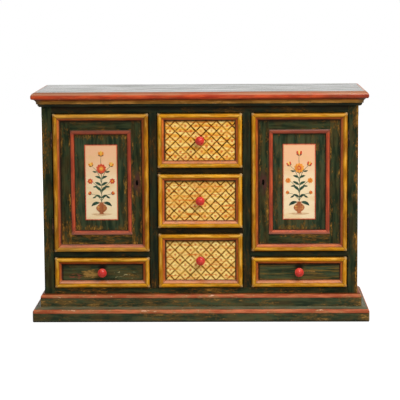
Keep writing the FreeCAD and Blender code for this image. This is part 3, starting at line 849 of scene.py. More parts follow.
@dataclass(frozen=True)
class MouldingPaint(Finish):
    """Ochre on the round of a planted moulding, red on its inner bevel."""

    plain = {"Specular IOR Level": 0.08, "Coat Roughness": 0.25}
    chalk: float = 0.38
    dust: float = 0.0
    glaze: float = 0.2
    round_width: float = 17.5 * MM
    line: float = 0.7 * MM
    soft: float = 1.6 * MM
    dirty_foot: float = 5 * MM
    worn_corner: float = 15 * MM
    browning: Patches = Patches((16, 40, 40), 0.35, 0.65)
    rubbing: Patches = Patches((14, 70, 70), 0.42, 0.6)
    patina: Tone = Tone(96, 52, 8)
    upper_dirt: Tone = Tone(66, 46, 10)
    chalked: Tone = Tone(222, 172, 122)
    dusted: Tone = Tone(190, 170, 124)

    def paint(self, surface: Surface) -> None:
        """Brush both paints on, glaze and rub them, paint shade, sheen and a crest highlight on them, and
        dirty the joints and mitres.

        Args:
            surface: The material of one front's moulding, with the front's outline.
        """
        measure = surface.measure
        upright, above = measure["Upright"], measure["Above"]
        vector = surface.turn(upright, Run.LEVEL, Run.UPRIGHT)
        inset = measure["Inset"] + vector.sway(30, 2.5 * MM)
        surface.start(Paint.OCHRE.brush(surface, vector, 0.5))
        surface.rough = surface.rough - 0.12
        # Flanks: brown glaze and painted shade. Crest: rubbed paint and a painted highlight. Level parts are
        # dusty.
        crest = self.round_width / 2
        dark_flanks = abs(inset - crest).band(self.round_width * 0.28, self.round_width * 0.52, 0.0, 0.85)
        browned = self.browning.mask(vector, self.glaze * 1.4, self.glaze * 0.6)
        browned = browned * upright.band(0.0, 1.0, 0.5, 1.0)
        surface.lay(dark_flanks.step("MAXIMUM", browned), self.patina)
        bare = self.rubbing.mask(vector, 0.0, 0.75 * (1.0 - self.glaze))
        surface.lay(inset.line(crest, self.line, 3 * self.soft) * bare, Paint.OCHRE.value.rub)
        surface.lay(upright.band(0.0, 1.0, self.dust, 0.0), self.dusted)
        # The bevel is brick red, with a painted sheen on the lowest side.
        on_bevel = inset.band(self.round_width - self.soft, self.round_width + 2 * self.soft)
        red = Paint.BRICK.brush(surface, vector, 0.4)["Color"]
        surface.lay(on_bevel, surface.tint(browned * 0.45, red, self.patina))
        foot, under = MOULDING_WIDTH, -surface.outline.half_height
        low = above.band(under + self.round_width, under + 1.2 * foot, self.chalk, 0.0)
        surface.lay(on_bevel * low, self.chalked)
        # Joints: dirt and painted shade. Upper edge: painted shade. Mitres: dirt. Corners: bare.
        foot_shade_share = above.band(under + foot, under + 1.3 * foot, 0.4, 0.85)
        surface.lay(inset.line(0.0, self.line, self.soft, 0.8), GRIME_AND_SHADE)
        surface.lay(inset.line(foot, self.line, self.dirty_foot) * foot_shade_share, GRIME_AND_SHADE)
        surface.lay((-under - above).band(1 * MM, 5 * MM, 0.85, 0.0), self.upper_dirt)
        surface.lay(measure["Mitre"].line(0.0, 0.5 * MM, 1.0 * MM, 0.6), GRIME_AND_SHADE)
        surface.lay(measure["Corner"].band(self.worn_corner * 0.3, self.worn_corner, 0.5, 0.0), BARE_WOOD)
        surface.feed(surface.shader.inputs["Coat Weight"], on_bevel.band(0.0, 1.0, 0.03, 0.45))


@dataclass(frozen=True)
class BeadPaint(Finish):
    """Brick red of the bead round a sunk panel."""

    plain = {"Specular IOR Level": 0.1, "Coat Weight": 0.3, "Coat Roughness": 0.3}
    width: float = 17.5 * MM
    soot: Tone = Tone(92, 56, 40)
    chalked: Tone = Tone(190, 128, 104)

    def paint(self, surface: Surface) -> None:
        """Brush it on, darken its edges with dirt and painted shade, paint shade on the upper side and a
        sheen on the lower one.

        Args:
            surface: The material of one bead.
        """
        measure, top = surface.measure, surface.outline.half_height
        inset, above = measure["Inset"], measure["Above"]
        vector = surface.turn(measure["Upright"], Run.LEVEL, Run.UPRIGHT)
        surface.start(Paint.BEAD_RED.brush(surface, vector, 0.4))
        surface.rough = surface.rough - 0.08
        # Dirt and painted shade in the creases at both edges of the bead.
        surface.lay(inset.line(0.0, 1.0 * MM, 2.4 * MM, 0.85), GRIME_AND_SHADE)
        surface.lay(inset.line(self.width, 1.0 * MM, 2.6 * MM, 0.9), GRIME_AND_SHADE)
        # Painted shade on the upper side, painted sheen on the lower side.
        surface.lay(above.band(top - self.width - 2 * MM, top, 0.0, 0.75), self.soot)
        surface.lay(above.band(-top, self.width - top, 0.45, 0.0), self.chalked)
        surface.lay(measure["Mitre"].line(0.0, 0.4 * MM, 1.0 * MM, 0.6), GRIME_AND_SHADE)


@dataclass(frozen=True)
class LatticePaint(Finish):
    """Buff ground with a dark lattice and red dots, drawn from where its lines start at the centre."""

    plain = {"Specular IOR Level": 0.05}
    fall_start: float
    rise_start: float
    bleached: float = 0.0
    spacing: float = 40 * MM
    line_width: float = 4.0 * MM
    dot_size: float = 7.0 * MM
    line: Tone = Tone(64, 36, 0)
    bleed: Tone = Tone(236, 162, 44)
    dot: Tone = Tone(202, 94, 26)
    smear: Tone = Tone(226, 136, 36)
    sunned: Tone = Tone(255, 240, 158)
    smears: Patches = Patches((4, 120, 120), 0.57, 0.68, rough=0.6)
    streaks: Patches = Patches((11, 230, 230), 0.57, 0.64, 2.0, 0.6)

    def paint(self, surface: Surface) -> None:
        """Brush the ground on, draw the lattice on the front, smear it along the grain and paint shade along
        the moulding's foot.

        Args:
            surface: The material of one drawer.
        """
        vector = surface.timber(Run.LEVEL)
        surface.start(Paint.BUFF.brush(surface, vector, 0.5))
        surface.lay(self.bleached, self.sunned)
        lattice = surface.use(painted_lattice(), Centre_X=surface.outline.x, Centre_Z=surface.outline.z,
                              Spacing=self.spacing, Rise_Start=self.rise_start, Fall_Start=self.fall_start,
                              Line_Width=self.line_width, Dot_Size=self.dot_size)
        for mark, share, tone in (("Bleed", 0.6, self.bleed), ("Dot", 0.85, self.dot),
                                  ("Line", 0.97 - 0.3 * self.bleached, self.line)):
            surface.lay(lattice[mark] * surface.measure["Front"] * share, tone)
        surface.lay(self.smears.mask(vector, 0.0, 0.6), self.smear)
        surface.lay(self.streaks.mask(vector, 0.0, 0.7), self.dot)
        # Painted shade along the moulding's foot.
        surface.shade_rim()


@dataclass(frozen=True)
class TopPaint(Finish):
    """Varnished dark green top with a scarlet rounded edge and a thin line near its ends."""

    plain = {"Specular IOR Level": 0.02, "Coat Roughness": 0.16, "Coat IOR": 1.45}
    depth = 0.1 * MM
    edge: float = 18 * MM
    line: float = 1.4 * MM
    line_tone: Tone = Tone(96, 60, 40)
    end_line: float = 45 * MM
    border: float = 22 * MM
    border_width: float = 14 * MM
    border_tone: Tone = Tone(92, 58, 40)
    worn_height: float = 11 * MM
    worn_soft: float = 4 * MM
    worn: Tone = Tone(172, 116, 84)
    browned: Tone = Tone(96, 36, 16)
    rubbing: Patches = Patches((7, 40, 40), 0.32, 0.56, 4.0)
    dulling: Patches = Patches((5, 30, 30), 0.36, 0.64, 4.0, 0.6)
    clouding: Patches = Patches((3, 9, 9), 0.35, 0.65)

    def paint(self, surface: Surface) -> None:
        """Paint the edge and the top, and varnish the top where it isn't worn off.

        Args:
            surface: The material of the board.
        """
        (_, low_y, _), (right, _, head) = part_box("top_board")
        x = surface.axis("X")
        end = right - abs(x)
        front = surface.axis("Y") - low_y
        inset = end.step("MINIMUM", front)
        flat = surface.timber(Run.FLAT)
        along = surface.turn(end.step("LESS_THAN", front), Run.FLAT, Run.FLAT_DEEP)
        # The rounded edge is browner to the right, and paler along its upper half: rubbed paint and a painted
        # highlight.
        surface.start(Paint.SCARLET.brush(surface, along, 0.5))
        surface.lay(x.band(right * 0.55, right * 0.95, 0.0, 0.6), self.browned)
        worn = head - self.worn_height
        upper = surface.axis("Z").band(worn - self.worn_soft, worn + self.worn_soft)
        surface.lay(upper * self.rubbing.mask(along, 0.35, 0.95), self.worn)
        # The top has thin lines near its edges and a strip along the front where the varnish is worn off.
        green = Paint.GREEN.brush(surface, flat, 0.35)
        on_top = inset.band(self.edge - self.line, self.edge + self.line)
        surface.lay(on_top, green["Color"])
        surface.lay(inset.line(self.edge / 2, 2 * self.line, 2 * self.line, 0.5), self.line_tone)
        surface.lay(on_top * end.line(self.end_line, self.line, self.line, 0.8), self.line_tone)
        worn_off = front.line(self.border, self.border_width / 3, self.border_width / 3, 0.75)
        surface.lay(worn_off, self.border_tone)
        dull = self.dulling.mask(flat, 1.0, 0.6)
        varnish = dull * on_top.band(0.0, 1.0, 0.4, 1.0) * (1.0 - worn_off)
        surface.feed(surface.shader.inputs["Coat Weight"], varnish)
        surface.rough = self.clouding.mask(flat, 0.3, 0.5)
        surface.height = green["Height"]


@dataclass(frozen=True)
class Stripe:
    """A painted band between two heights."""

    low: float
    high: float
    coat: Paint
    lined: bool = True


@dataclass(frozen=True)
class BandedPaint(Finish):
    """Green boards with bands of other paint at given heights, for the cornice and the plinth."""

    plain = {"Specular IOR Level": 0.1}
    run: Run
    bands: tuple[Stripe, ...]
    wear: float = 0.5
    ground: Paint = Paint.PALE_GREEN
    soiled: float = 0.0
    smoked_from: float | None = None
    smoke: Tone = Tone(80, 70, 54)
    worn_from: float = 0.58
    worn_reach: float = 60 * MM
    worn_more: float = 0.4
    soft: float = 1.2 * MM
    smoked_reach: float = 30 * MM
    edge_width: float = 3 * MM
    edge_amount: float = 0.35

    def paint(self, surface: Surface) -> None:
        """Brush the green and the bands on, bare the edges, smoke the ends and darken the boards towards the
        floor.

        Args:
            surface: The material of the boards.
        """
        vector = surface.timber(self.run)
        height = surface.axis("Z") + vector.sway(25, 3 * MM)
        corner = abs(surface.axis("X"))
        worn_to = self.worn_from + self.worn_reach
        wear = corner.band(self.worn_from, worn_to, self.wear, self.wear + self.worn_more)
        surface.start(self.ground.brush(surface, vector, wear))
        for band in self.bands:
            half = (band.high - band.low) / 2
            mask = height.line(band.low + half, half - self.soft / 2, self.soft)
            surface.lay(mask, band.coat.brush(surface, vector, self.wear)["Color"])
            if band.lined:
                surface.lay(height.line(band.low, 0.5 * MM, 1.4 * MM, 0.6), GRIME_AND_SHADE)
        edge = surface.use(edge_wear(), Vector=vector, Width=self.edge_width, Amount=self.edge_amount)
        surface.lay(edge["Mask"], BARE_WOOD)
        if self.smoked_from:
            smoked_to = self.smoked_from + self.smoked_reach
            surface.lay(corner.band(self.smoked_from, smoked_to, 0.0, 0.75), self.smoke)
        # Darker towards the floor.
        if self.soiled:
            surface.lay(height.band(0.3 * self.soiled, self.soiled, 0.85, 0.0), GRIME_AND_SHADE)


@dataclass(frozen=True)
class BarePine(Finish):
    """Unpainted pine of the insides and the back."""

    plain = {"Specular IOR Level": 0.2}
    run: Run
    board: float = 0.6
    pale: Tone = Tone(205, 166, 112)
    dark: Tone = Tone(160, 108, 58)
    age: Tone = Tone(150, 116, 76)

    def paint(self, surface: Surface) -> None:
        """Grow the grain along the timber."""
        surface.start(surface.use(pine_grain(), Vector=surface.timber(self.run), Board=self.board,
                                  Pale=self.pale, Dark=self.dark, Age=self.age))


@dataclass(frozen=True)
class DarkIron(Finish):
    """Dark iron with some rust, for hinges, locks and screws."""

    plain = {"Specular IOR Level": 0.5}
    depth = 0.1 * MM
    metal: Tone = Tone(46, 38, 30)
    rust: Tone = Tone(96, 58, 34)

    def paint(self, surface: Surface) -> None:
        """Rust the metal in clouds.

        Args:
            surface: The material.
        """
        surface.height = surface.timber(Run.UPRIGHT).noise((90, 90, 90), 4.0, 0.7)
        rusted = surface.height.band(0.48, 0.66)
        surface.colour = surface.tint(rusted, self.metal, self.rust)
        surface.rough = rusted.band(0.0, 1.0, 0.42, 0.8)
        surface.feed(surface.shader.inputs["Metallic"], rusted.band(0.0, 1.0, 1.0, 0.15))


@dataclass(frozen=True)
class KnobPaint(Finish):
    """Red enamel of a turned knob, rubbed at its edges."""

    plain = {"Specular IOR Level": 0.25, "Coat Weight": 0.2, "Coat Roughness": 0.16}
    depth = 0.2 * MM
    deep: Tone = Tone(196, 36, 26)
    pale: Tone = Tone(216, 66, 46)

    def paint(self, surface: Surface) -> None:
        """Cloud the enamel and rub its edges.

        Args:
            surface: The material.
        """
        vector = surface.timber(Run.LEVEL)
        cloud = vector.noise((70, 70, 70))
        surface.colour = surface.tint(cloud.band(0.4, 0.65), self.deep, self.pale)
        surface.rough, surface.height = cloud.band(0.3, 0.7, 0.3, 0.45), cloud
        edge = surface.use(edge_wear(), Vector=vector, Width=2 * MM, Amount=0.3)
        surface.lay(edge["Mask"], Paint.BRICK.value.stain)


@dataclass(frozen=True)
class PictureColour(Finish):
    """One colour of the flower pictures, brushed on the panel."""

    plain = {"Specular IOR Level": 0.15}
    depth = 0.15 * MM
    coat: Paint
    wear: float = 0.45

    def paint(self, surface: Surface) -> None:
        """Brush it upright."""
        surface.start(self.coat.brush(surface, surface.timber(Run.UPRIGHT), self.wear))


@dataclass(frozen=True)
class PictureGround(Finish):
    """Pale ground of a flower picture, peach above and cream below, with a yellowed varnish."""

    plain = {"Specular IOR Level": 0.15}
    depth = 0.15 * MM
    upper: Tone = Tone(238, 184, 140)
    lower: Tone = Tone(240, 216, 174)
    yellowed: Tone = Tone(226, 186, 124)
    soiled: Tone = Tone(176, 120, 84)

    def paint(self, surface: Surface) -> None:
        """Blend the two tones, yellow them in clouds and soil the rim.

        Args:
            surface: The material of one picture.
        """
        vector = surface.timber(Run.LEVEL)
        cloud = vector.noise((14, 26, 26), 4.0)
        rise = surface.measure["Above"] + vector.sway(12, 90 * MM)
        surface.colour = surface.tint(rise.band(-20 * MM, 110 * MM), self.lower, self.upper)
        surface.lay(cloud.band(0.45, 0.7, 0.0, 0.5), self.yellowed)
        surface.lay(surface.measure["Inset"].band(0.0, 9 * MM, 0.35, 0.0), self.soiled)
        surface.rough, surface.height = cloud.band(0.3, 0.7, 0.45, 0.6), cloud


IRON = DarkIron()
SCREW_IRON = DarkIron(Tone(136, 130, 120), Tone(100, 78, 54))


def dress(finish: Finish, name: str, *nodes: str, outline: Rectangle | None = None) -> None:
    """Give CAD nodes one finish.

    Args:
        finish: The finish.
        name: Its material's name.
        nodes: Names of the nodes.
        outline: The rectangle on the face that the finish is measured against.
    """
    material = finish.material(name, outline)
    for node in nodes:
        mesh = frame["nodes"][node].data
        mesh.materials.clear()
        mesh.materials.append(material)
        LOG.info("%s: %s", node, name)


def ease_edges(width: float, *nodes: str) -> None:
    """Take the sharp arris off plain boards.

    Args:
        width: Width of the eased edge in metres.
        nodes: Names of nodes whose solids are separate plain boards.
    """
    for node in nodes:
        board = frame["nodes"][node]
        weld = board.modifiers.new("joined corners", "WELD")
        weld.merge_threshold = 0.01 * MM
        bevel = board.modifiers.new("eased edges", "BEVEL")
        bevel.width = width
        bevel.segments = 2
        bevel.limit_method = "ANGLE"
        bevel.angle_limit = math.radians(50)


def new_piece(name: str, build: Builder, material: Material, body: str) -> None:
    """Make a mesh piece that rides on a CAD body.

    Args:
        name: The piece's name.
        build: Fills a mesh in frame coordinates.
        material: Its finish.
        body: The CAD body that carries it.
    """
    work = bmesh.new()
    build(work)
    bmesh.ops.recalc_face_normals(work, faces=work.faces)
    mesh = bpy.data.meshes.new(name)
    work.to_mesh(mesh)
    work.free()
    mesh.materials.append(material)
    piece = bpy.data.objects.new(name, mesh)
    bpy.context.scene.collection.objects.link(piece)
    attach(piece, body)
    LOG.info("%s rides on %s", name, body)


def add_prism(work: BMesh, outline: Sequence[Vector], depth: Vector) -> None:
    """Add a closed prism to a mesh.

    Args:
        work: The mesh.
        outline: Corners of its first end, in order.
        depth: From the first end to the other.
    """
    near = [work.verts.new(point) for point in outline]
    far = [work.verts.new(point + depth) for point in outline]
    work.faces.new(near)
    work.faces.new(far)
    for index in range(len(near)):
        work.faces.new((near[index - 1], near[index], far[index], far[index - 1]))


@dataclass(frozen=True)
class ScrewHead:
    """A flat slotted screw head, let in almost flush."""

    radius: float = 3.0 * MM
    proud: float = 0.2 * MM
    slot: float = 0.8 * MM
    slot_floor: float = 0.4
    steps: int = 10

    def build(self, work: BMesh, place: Vector, out: Vector, turn: float) -> None:
        """Add one head to a mesh: a low disc with two halves on it, a slot apart.

        Args:
            work: The mesh.
            place: Middle of the head on the surface.
            out: Unit vector away from the surface.
            turn: Turn of the slot in degrees.
        """
        first = out.orthogonal().normalized()
        first.rotate(Matrix.Rotation(math.radians(turn), 3, out))
        second = out.cross(first)

        def rim(angle: float, gap: float) -> Vector:
            """A point on the head's rim, kept off the slot.

            Args:
                angle: Its direction from the slot's line, in radians.
                gap: How far it stays from that line.

            Returns:
                The point.
            """
            across = self.radius * math.sin(angle)
            off_slot = math.copysign(max(abs(across), gap), across)
            return place + first * self.radius * math.cos(angle) + second * off_slot

        around = [math.pi * index / self.steps for index in range(2 * self.steps)]
        add_prism(work, [rim(angle, 0.0) for angle in around], out * self.proud * self.slot_floor)
        for start in (0.0, math.pi):
            arc = [start + math.pi * (index + 0.5) / self.steps for index in range(self.steps)]
            add_prism(work, [rim(angle, self.slot / 2) for angle in arc], out * self.proud)


@dataclass(frozen=True)
class Hinges:
    """The screws in the leaves of a door's two butt hinges."""

    length: float = 60 * MM
    leaf: float = 1.2 * MM
    screw_depth: float = 9.9 * MM
    screw_spacing: float = 20.4 * MM

    def add_screws(self, work: BMesh, side: Side, x: float, out: int, turns: Point2) -> None:
        """Put three heads in each of two leaves.

        Args:
            work: The mesh.
            side: The door that the hinges carry.
            x: Where the leaves' outer faces are.
            out: The sign of X that the heads look towards.
            turns: Turn of the first slot, and from each to the next, in degrees.
        """
        low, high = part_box(side.word + "_hinge_door_leaves")
        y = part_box("stiles")[0][1] + self.screw_depth
        middles = (low[2] + self.length / 2, high[2] - self.length / 2)
        heights = [middle + offset * self.screw_spacing for middle in middles for offset in (-1, 0, 1)]
        for index, z in enumerate(heights):
            ScrewHead().build(work, Vector((x, y, z)), Vector((out, 0, 0)), turns[0] + turns[1] * index)


@dataclass
class Carcass:
    """Face frame, sides, boards inside, the back and the fixed hinge leaves."""

    eased: float = 0.8 * MM
    shaded: float = 24 * MM
    back_boards: int = 6
    hinges: Hinges = Hinges()

    def build(self) -> None:
        """Put the screws in the fixed hinge leaves."""
        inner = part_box("door_rails")[1][0] - self.hinges.leaf

        def heads(work: BMesh) -> None:
            """Three heads in every leaf."""
            for side in Side:
                self.hinges.add_screws(work, side, side.value * inner, -side.value, (0.0, 37.0))

        new_piece("hinge_frame_screws", heads, SCREW_IRON.material("rubbed_screws"), "carcass")

    def dress(self) -> None:
        """Paint what shows and leave the inside bare."""
        dark = Paint.DARK_GREEN
        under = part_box("cornice_front")[0][2]
        board = 2 * Rectangle.of_node("back_boards").half_width / self.back_boards
        dress(StileGreen(Run.UPRIGHT), "green_stiles", "stiles")
        dress(GreenPaint(Run.UPRIGHT, 0.75, dark), "green_mullions", "mullions")
        dress(GreenPaint(Run.LEVEL, 0.5, dark), "green_rails", "door_rails")
        # The centre rails between the drawers are painted nearly black.
        dress(GreenPaint(Run.LEVEL, 0.7, Paint.SMOKED), "smoked_rails", "centre_rails")
        dress(GreenPaint(Run.LEVEL, 0.8, dark, (under - self.shaded, under)), "green_top_rail", "top_rail")
        dress(GreenPaint(Run.LEVEL, 0.7), "green_bottom_rail", "bottom_rail")
        dress(GreenPaint(Run.END_UPRIGHT, 0.5), "green_sides", "left_side", "right_side")
        dress(BarePine(Run.UPRIGHT, board), "pine_back", "back_boards")
        dress(BarePine(Run.FLAT), "pine_flat", "bottom_board", "cupboard_floors", "shelves")
        dress(BarePine(Run.END_UPRIGHT), "pine_upright", "partitions")
        dress(BarePine(Run.END_LEVEL), "pine_strip", "shelf_battens", "drawer_runners")
        dress(BarePine(Run.LEVEL), "pine_stop", "door_stops")
        dress(IRON, "aged_iron", "hinge_frame_leaves")
        ease_edges(self.eased, "stiles", "mullions", "top_rail", "bottom_rail", "door_rails", "centre_rails",
                   "left_side", "right_side", "back_boards", "bottom_board", "cupboard_floors", "shelves",
                   "partitions", "shelf_battens", "door_stops")


@dataclass
class TopAndCornice:
    """Top board and the moulding under it."""

    foot_height: float = 12 * MM
    worn_foot: float = 9 * MM
    browned_head: float = 5 * MM
    smoked_end: float = 42 * MM

    def dress(self) -> None:
        """Varnish the top and paint the cornice in bands: ochre, a painted highlight low on it and painted
        shade under the top.
        """
        dress(TopPaint(), "top_varnish", "top_board")
        low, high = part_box("cornice_front")
        foot, head = low[2] + self.foot_height, high[2] + OVERLAP
        # The lower stripe is a painted highlight on the foot of the cove, the upper one painted shade under
        # the top's edge.
        bands = (Stripe(foot, head, Paint.DULL_OCHRE),
                 Stripe(foot, foot + self.worn_foot, Paint.WORN_OCHRE, False),
                 Stripe(high[2] - self.browned_head, head, Paint.UMBER, False))
        for node, run, smoked in (("cornice_front", Run.LEVEL, high[0] - self.smoked_end),
                                  ("cornice_sides", Run.END_LEVEL, None)):
            finish = BandedPaint(run, bands, ground=Paint.DARK_GREEN, smoked_from=smoked)
            dress(finish, node + "_paint", node)


@dataclass
class Plinth:
    """Skirt and base boards."""

    skirt_red: float = 13 * MM
    skirt_edge: float = 2.5 * MM
    wash: float = 7.5 * MM
    base_red: float = 14.5 * MM
    soiled: float = 9 * MM
    wear: float = 0.65

    def dress(self) -> None:
        """Paint the boards green with red upper edges."""
        skirt_top, base_top = (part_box(node)[1][2] for node in ("skirt_front", "base_front"))
        shoulder = base_top - self.wash
        red_top = skirt_top - self.skirt_edge
        skirt = (Stripe(red_top - self.skirt_red, red_top, Paint.PLINTH_RED),
                 Stripe(red_top, skirt_top + OVERLAP, Paint.UMBER, False))
        base = (Stripe(shoulder, base_top + OVERLAP, Paint.LEDGE),
                Stripe(shoulder - self.base_red, shoulder, Paint.PLINTH_RED))
        for part, bands in (("skirt", skirt), ("base", base)):
            for node, run in ((part + "_front", Run.LEVEL), (part + "_sides", Run.END_LEVEL)):
                dress(BandedPaint(run, bands, self.wear, soiled=self.soiled), node + "_paint", node)


class Swell(Enum):
    """How a brush stroke swells between its two ends."""

    STEM = "stem"
    LEAF = "leaf"
    PETAL = "petal"
    DOT = "dot"
    URN = "urn"

    def share(self, step: float) -> float:
        """The stroke's half width at one place.

        Args:
            step: Place along the stroke, 0 to 1.

        Returns:
            Share of its full half width.
        """
        if self is Swell.STEM:
            return 1.0 - 0.5 * step
        if self is Swell.LEAF:
            return max(0.03, max(0.0, math.sin(math.pi * step)) ** 0.8)
        if self is Swell.PETAL:
            return max(0.05, math.sin(math.pi * step ** 1.6) ** 0.7)
        if self is Swell.DOT:
            return max(0.05, 2 * math.sqrt(step * (1 - step)))
        foot = max(0.0, 1 - step / 0.12) * 0.55
        belly = max(0.0, math.sin(math.pi * (step - 0.08) / 0.86)) ** 0.8 if step > 0.08 else 0.0
        rim = max(0.0, (step - 0.86) / 0.14) * 0.62
        return max(0.28, foot, belly, rim)


@dataclass(frozen=True)
class Stroke:
    """One brush stroke: from start to end past a bend, in metres from the picture's centre."""

    start: Vector
    bend: Vector
    end: Vector
    half_width: float
    swell: Swell
    lift: float
    steps: int = 12
    crown: float = 0.2 * MM

    def centre(self, step: float) -> Vector:
        """A point on the stroke's middle line, at a step from 0 to 1."""
        return self.start * (1 - step) ** 2 + self.bend * 2 * step * (1 - step) + self.end * step ** 2

    def build(self, work: BMesh, put: Callable[[Vector, float], Vector]) -> None:
        """Add the stroke to a mesh as a low closed ridge.

        Args:
            work: The mesh.
            put: Turns a picture point and its lift into a frame point.
        """
        rows = []
        for index in range(self.steps + 1):
            step = index / self.steps
            here = self.centre(step)
            ahead = self.centre(min(1.0, step + 0.01)) - self.centre(max(0.0, step - 0.01))
            share = self.swell.share(step)
            side = Vector((-ahead.y, ahead.x)).normalized() * self.half_width * share
            places = ((here - side, 0.0), (here - side, self.lift), (here, self.lift + self.crown * share),
                      (here + side, self.lift), (here + side, 0.0))
            rows.append([work.verts.new(put(point, lift)) for point, lift in places])
        for row, after in zip(rows, rows[1:]):
            for index in range(len(row)):
                work.faces.new((row[index - 1], row[index], after[index], after[index - 1]))
        work.faces.new(rows[0])
        work.faces.new(rows[-1])


def toward(at: Point2, angle: float, reach: float) -> Point2:
    """The point at some reach from another, in a direction in degrees from level."""
    turn = math.radians(angle)
    return at[0] + reach * math.cos(turn), at[1] + reach * math.sin(turn)


@dataclass
class FlowerPicture:
    """A painted spray of flowers in a vase on the sunk panel of one door, laid out in millimetres."""

    side: Side
    width: float = 127 * MM
    height: float = 295 * MM
    border: float = 2.8 * MM
    border_lift: float = 0.12 * MM
    ground_lift: float = 0.25 * MM
    first_lift: float = 0.08 * MM
    layer: float = 0.006 * MM
    strokes: dict[Paint, list[Stroke]] = field(default_factory=dict)

    def __post_init__(self) -> None:
        """Find the panel that carries the picture."""
        panel = Rectangle.of_node(self.side.word + "_door_panel")
        self.outline = Rectangle(panel.x, panel.z, self.width / 2, self.height / 2, panel.face)

    def put(self, point: Vector, lift: float) -> Vector:
        """A picture point in the frame, lifted off the painted ground."""
        y = self.outline.face - self.ground_lift - lift
        return Vector((self.outline.x + point.x, y, self.outline.z + point.y))

    def stroke(self, paint: Paint, swell: Swell, half_width: float, *points: Point2) -> None:
        """Lay one stroke over those before it.

        Args:
            paint: Its paint.
            swell: Its shape.
            half_width: Half of its widest place.
            points: Where it starts, what it bends towards and where it ends.
        """
        layers = 1 + sum(map(len, self.strokes.values()))
        lift = self.first_lift + self.layer * layers
        places = [Vector(point) * MM for point in points]
        self.strokes.setdefault(paint, []).append(Stroke(*places, half_width * MM, swell, lift))

    def dot(self, paint: Paint, at: Point2, radius: float) -> None:
        """A round dab of paint."""
        self.stroke(paint, Swell.DOT, radius, toward(at, 0, -radius), at, toward(at, 0, radius))

    def leaf(self, at: Point2, angle: float, length: float, curl: float) -> None:
        """A leaf with a pale rib.

        Args:
            at: Its foot.
            angle: Its direction in degrees from level.
            length: Its length.
            curl: How far it bends to its side, as a share of its length.
        """
        bend = toward(toward(at, angle, length / 2), angle + 90, length * curl)
        self.stroke(Paint.LEAF, Swell.LEAF, length * 0.17, at, bend, toward(at, angle, length))
        self.stroke(Paint.SAGE, Swell.STEM, 0.5, at, bend, toward(at, angle, length * 0.85))

    def bloom(self, at: Point2, petals: int, length: float, outer: Paint, inner: Paint) -> None:
        """A round open flower.

        Args:
            at: Its middle.
            petals: How many petals each ring has.
            length: Length of the outer petals.
            outer: Paint of the outer ring.
            inner: Paint of the inner ring.
        """
        for paint, reach, shift in ((outer, length, 0.0), (inner, length * 0.58, 0.5)):
            for index in range(petals):
                tip = toward(at, 90 + 360 * (index + shift) / petals, reach)
                self.stroke(paint, Swell.PETAL, reach * 0.36, at, at, tip)
        self.dot(Paint.YOLK, at, length * 0.26)
        self.dot(Paint.CLAY, at, length * 0.12)

    def cup(self, at: Point2, angle: float, length: float, outer: Paint, inner: Paint) -> None:
        """A closed cup-shaped flower of three petals on two small leaves.

        Args:
            at: Its foot.
            angle: Its direction in degrees from level.
            length: Its length.
            outer: Paint of the side petals.
            inner: Paint of the middle petal.
        """
        for spread, paint, share in ((-26, outer, 0.95), (26, outer, 0.95), (0, inner, 1.0)):
            self.stroke(paint, Swell.PETAL, length * 0.27, at, at, toward(at, angle + spread, length * share))
        for spread, curl in ((-62, 0.1), (62, -0.1)):
            self.leaf(at, angle + spread, length * 0.55, curl)

    def compose(self) -> None:
        """Lay out the vase and the spray, the same on both sides of its stem."""
        first, second = (Paint.RED, Paint.ORANGE)[::-self.side.value]
        self.stroke(Paint.SHADE, Swell.LEAF, 5.0, (-42, -124), (0, -127), (42, -124))
        self.stroke(Paint.LEAF, Swell.STEM, 1.3, (0, -80), (3, -10), (0, 56))
        self.stroke(Paint.LEAF, Swell.STEM, 1.0, (0, 66), (-2, 90), (0, 104))
        stems = ((1.1, (0, 0), (10, 46), (36, 62)), (1.1, (0, -44), (16, -4), (42, 4)),
                 (1.0, (0, -72), (18, -44), (40, -46)))
        leaves = ((0, -62, 28, 27, 0.18), (0, -36, 40, 31, 0.18), (0, -14, 30, 29, 0.18),
                  (0, 14, 22, 26, 0.18), (0, 32, 40, 22, 0.18), (15, 42, 8, 19, -0.2),
                  (14, -12, -14, 20, -0.2), (18, -50, -34, 20, -0.2), (6, -80, -22, 36, 0.28))
        for hand in (-1, 1):
            for half, *points in stems:
                self.stroke(Paint.LEAF, Swell.STEM, half, *((hand * x, y) for x, y in points))
            for x, y, angle, length, curl in leaves:
                self.leaf((hand * x, y), 90 - hand * (90 - angle), length, hand * curl)
            self.cup((hand * 36, 62), 90 - hand * 24, 19, second, Paint.YOLK)
            self.bloom((hand * 43, 5), 7, 11.5, first, second)
            self.cup((hand * 40, -46), 90 - hand * 52, 14, first, second)
        self.bloom((0, 54), 10, 20, first, second)
        self.cup((0, 102), 90, 22, second, Paint.YOLK)
        self.stroke(Paint.CLAY, Swell.URN, 21, (0, -124), (0, -101), (0, -78))
        self.stroke(Paint.YOLK, Swell.STEM, 1.3, (-17, -95), (0, -99), (17, -95))
        for index in range(-2, 3):
            self.dot(Paint.YOLK, (index * 6.2, -105 + abs(index) * 0.6), 1.5)

    def add(self, part: str, build: Builder, material: Material) -> None:
        """Make one piece of the picture."""
        word = self.side.word
        new_piece(word + "_picture_" + part, build, material, word + "_door")

    def build(self) -> None:
        """Make the ground, its border line and the strokes, one piece for each paint."""
        self.compose()
        half = Vector((self.width / 2, self.height / 2))
        rings = [[Vector((size.x * x, size.y * y)) for x, y in ((-1, -1), (1, -1), (1, 1), (-1, 1))]
                 for size in (half, half - Vector((self.border, self.border)))]

        def ground(work: BMesh) -> None:
            """A thin coat on the panel."""
            outline = [self.put(point, -self.ground_lift) for point in rings[0]]
            add_prism(work, outline, Vector((0, -self.ground_lift, 0)))

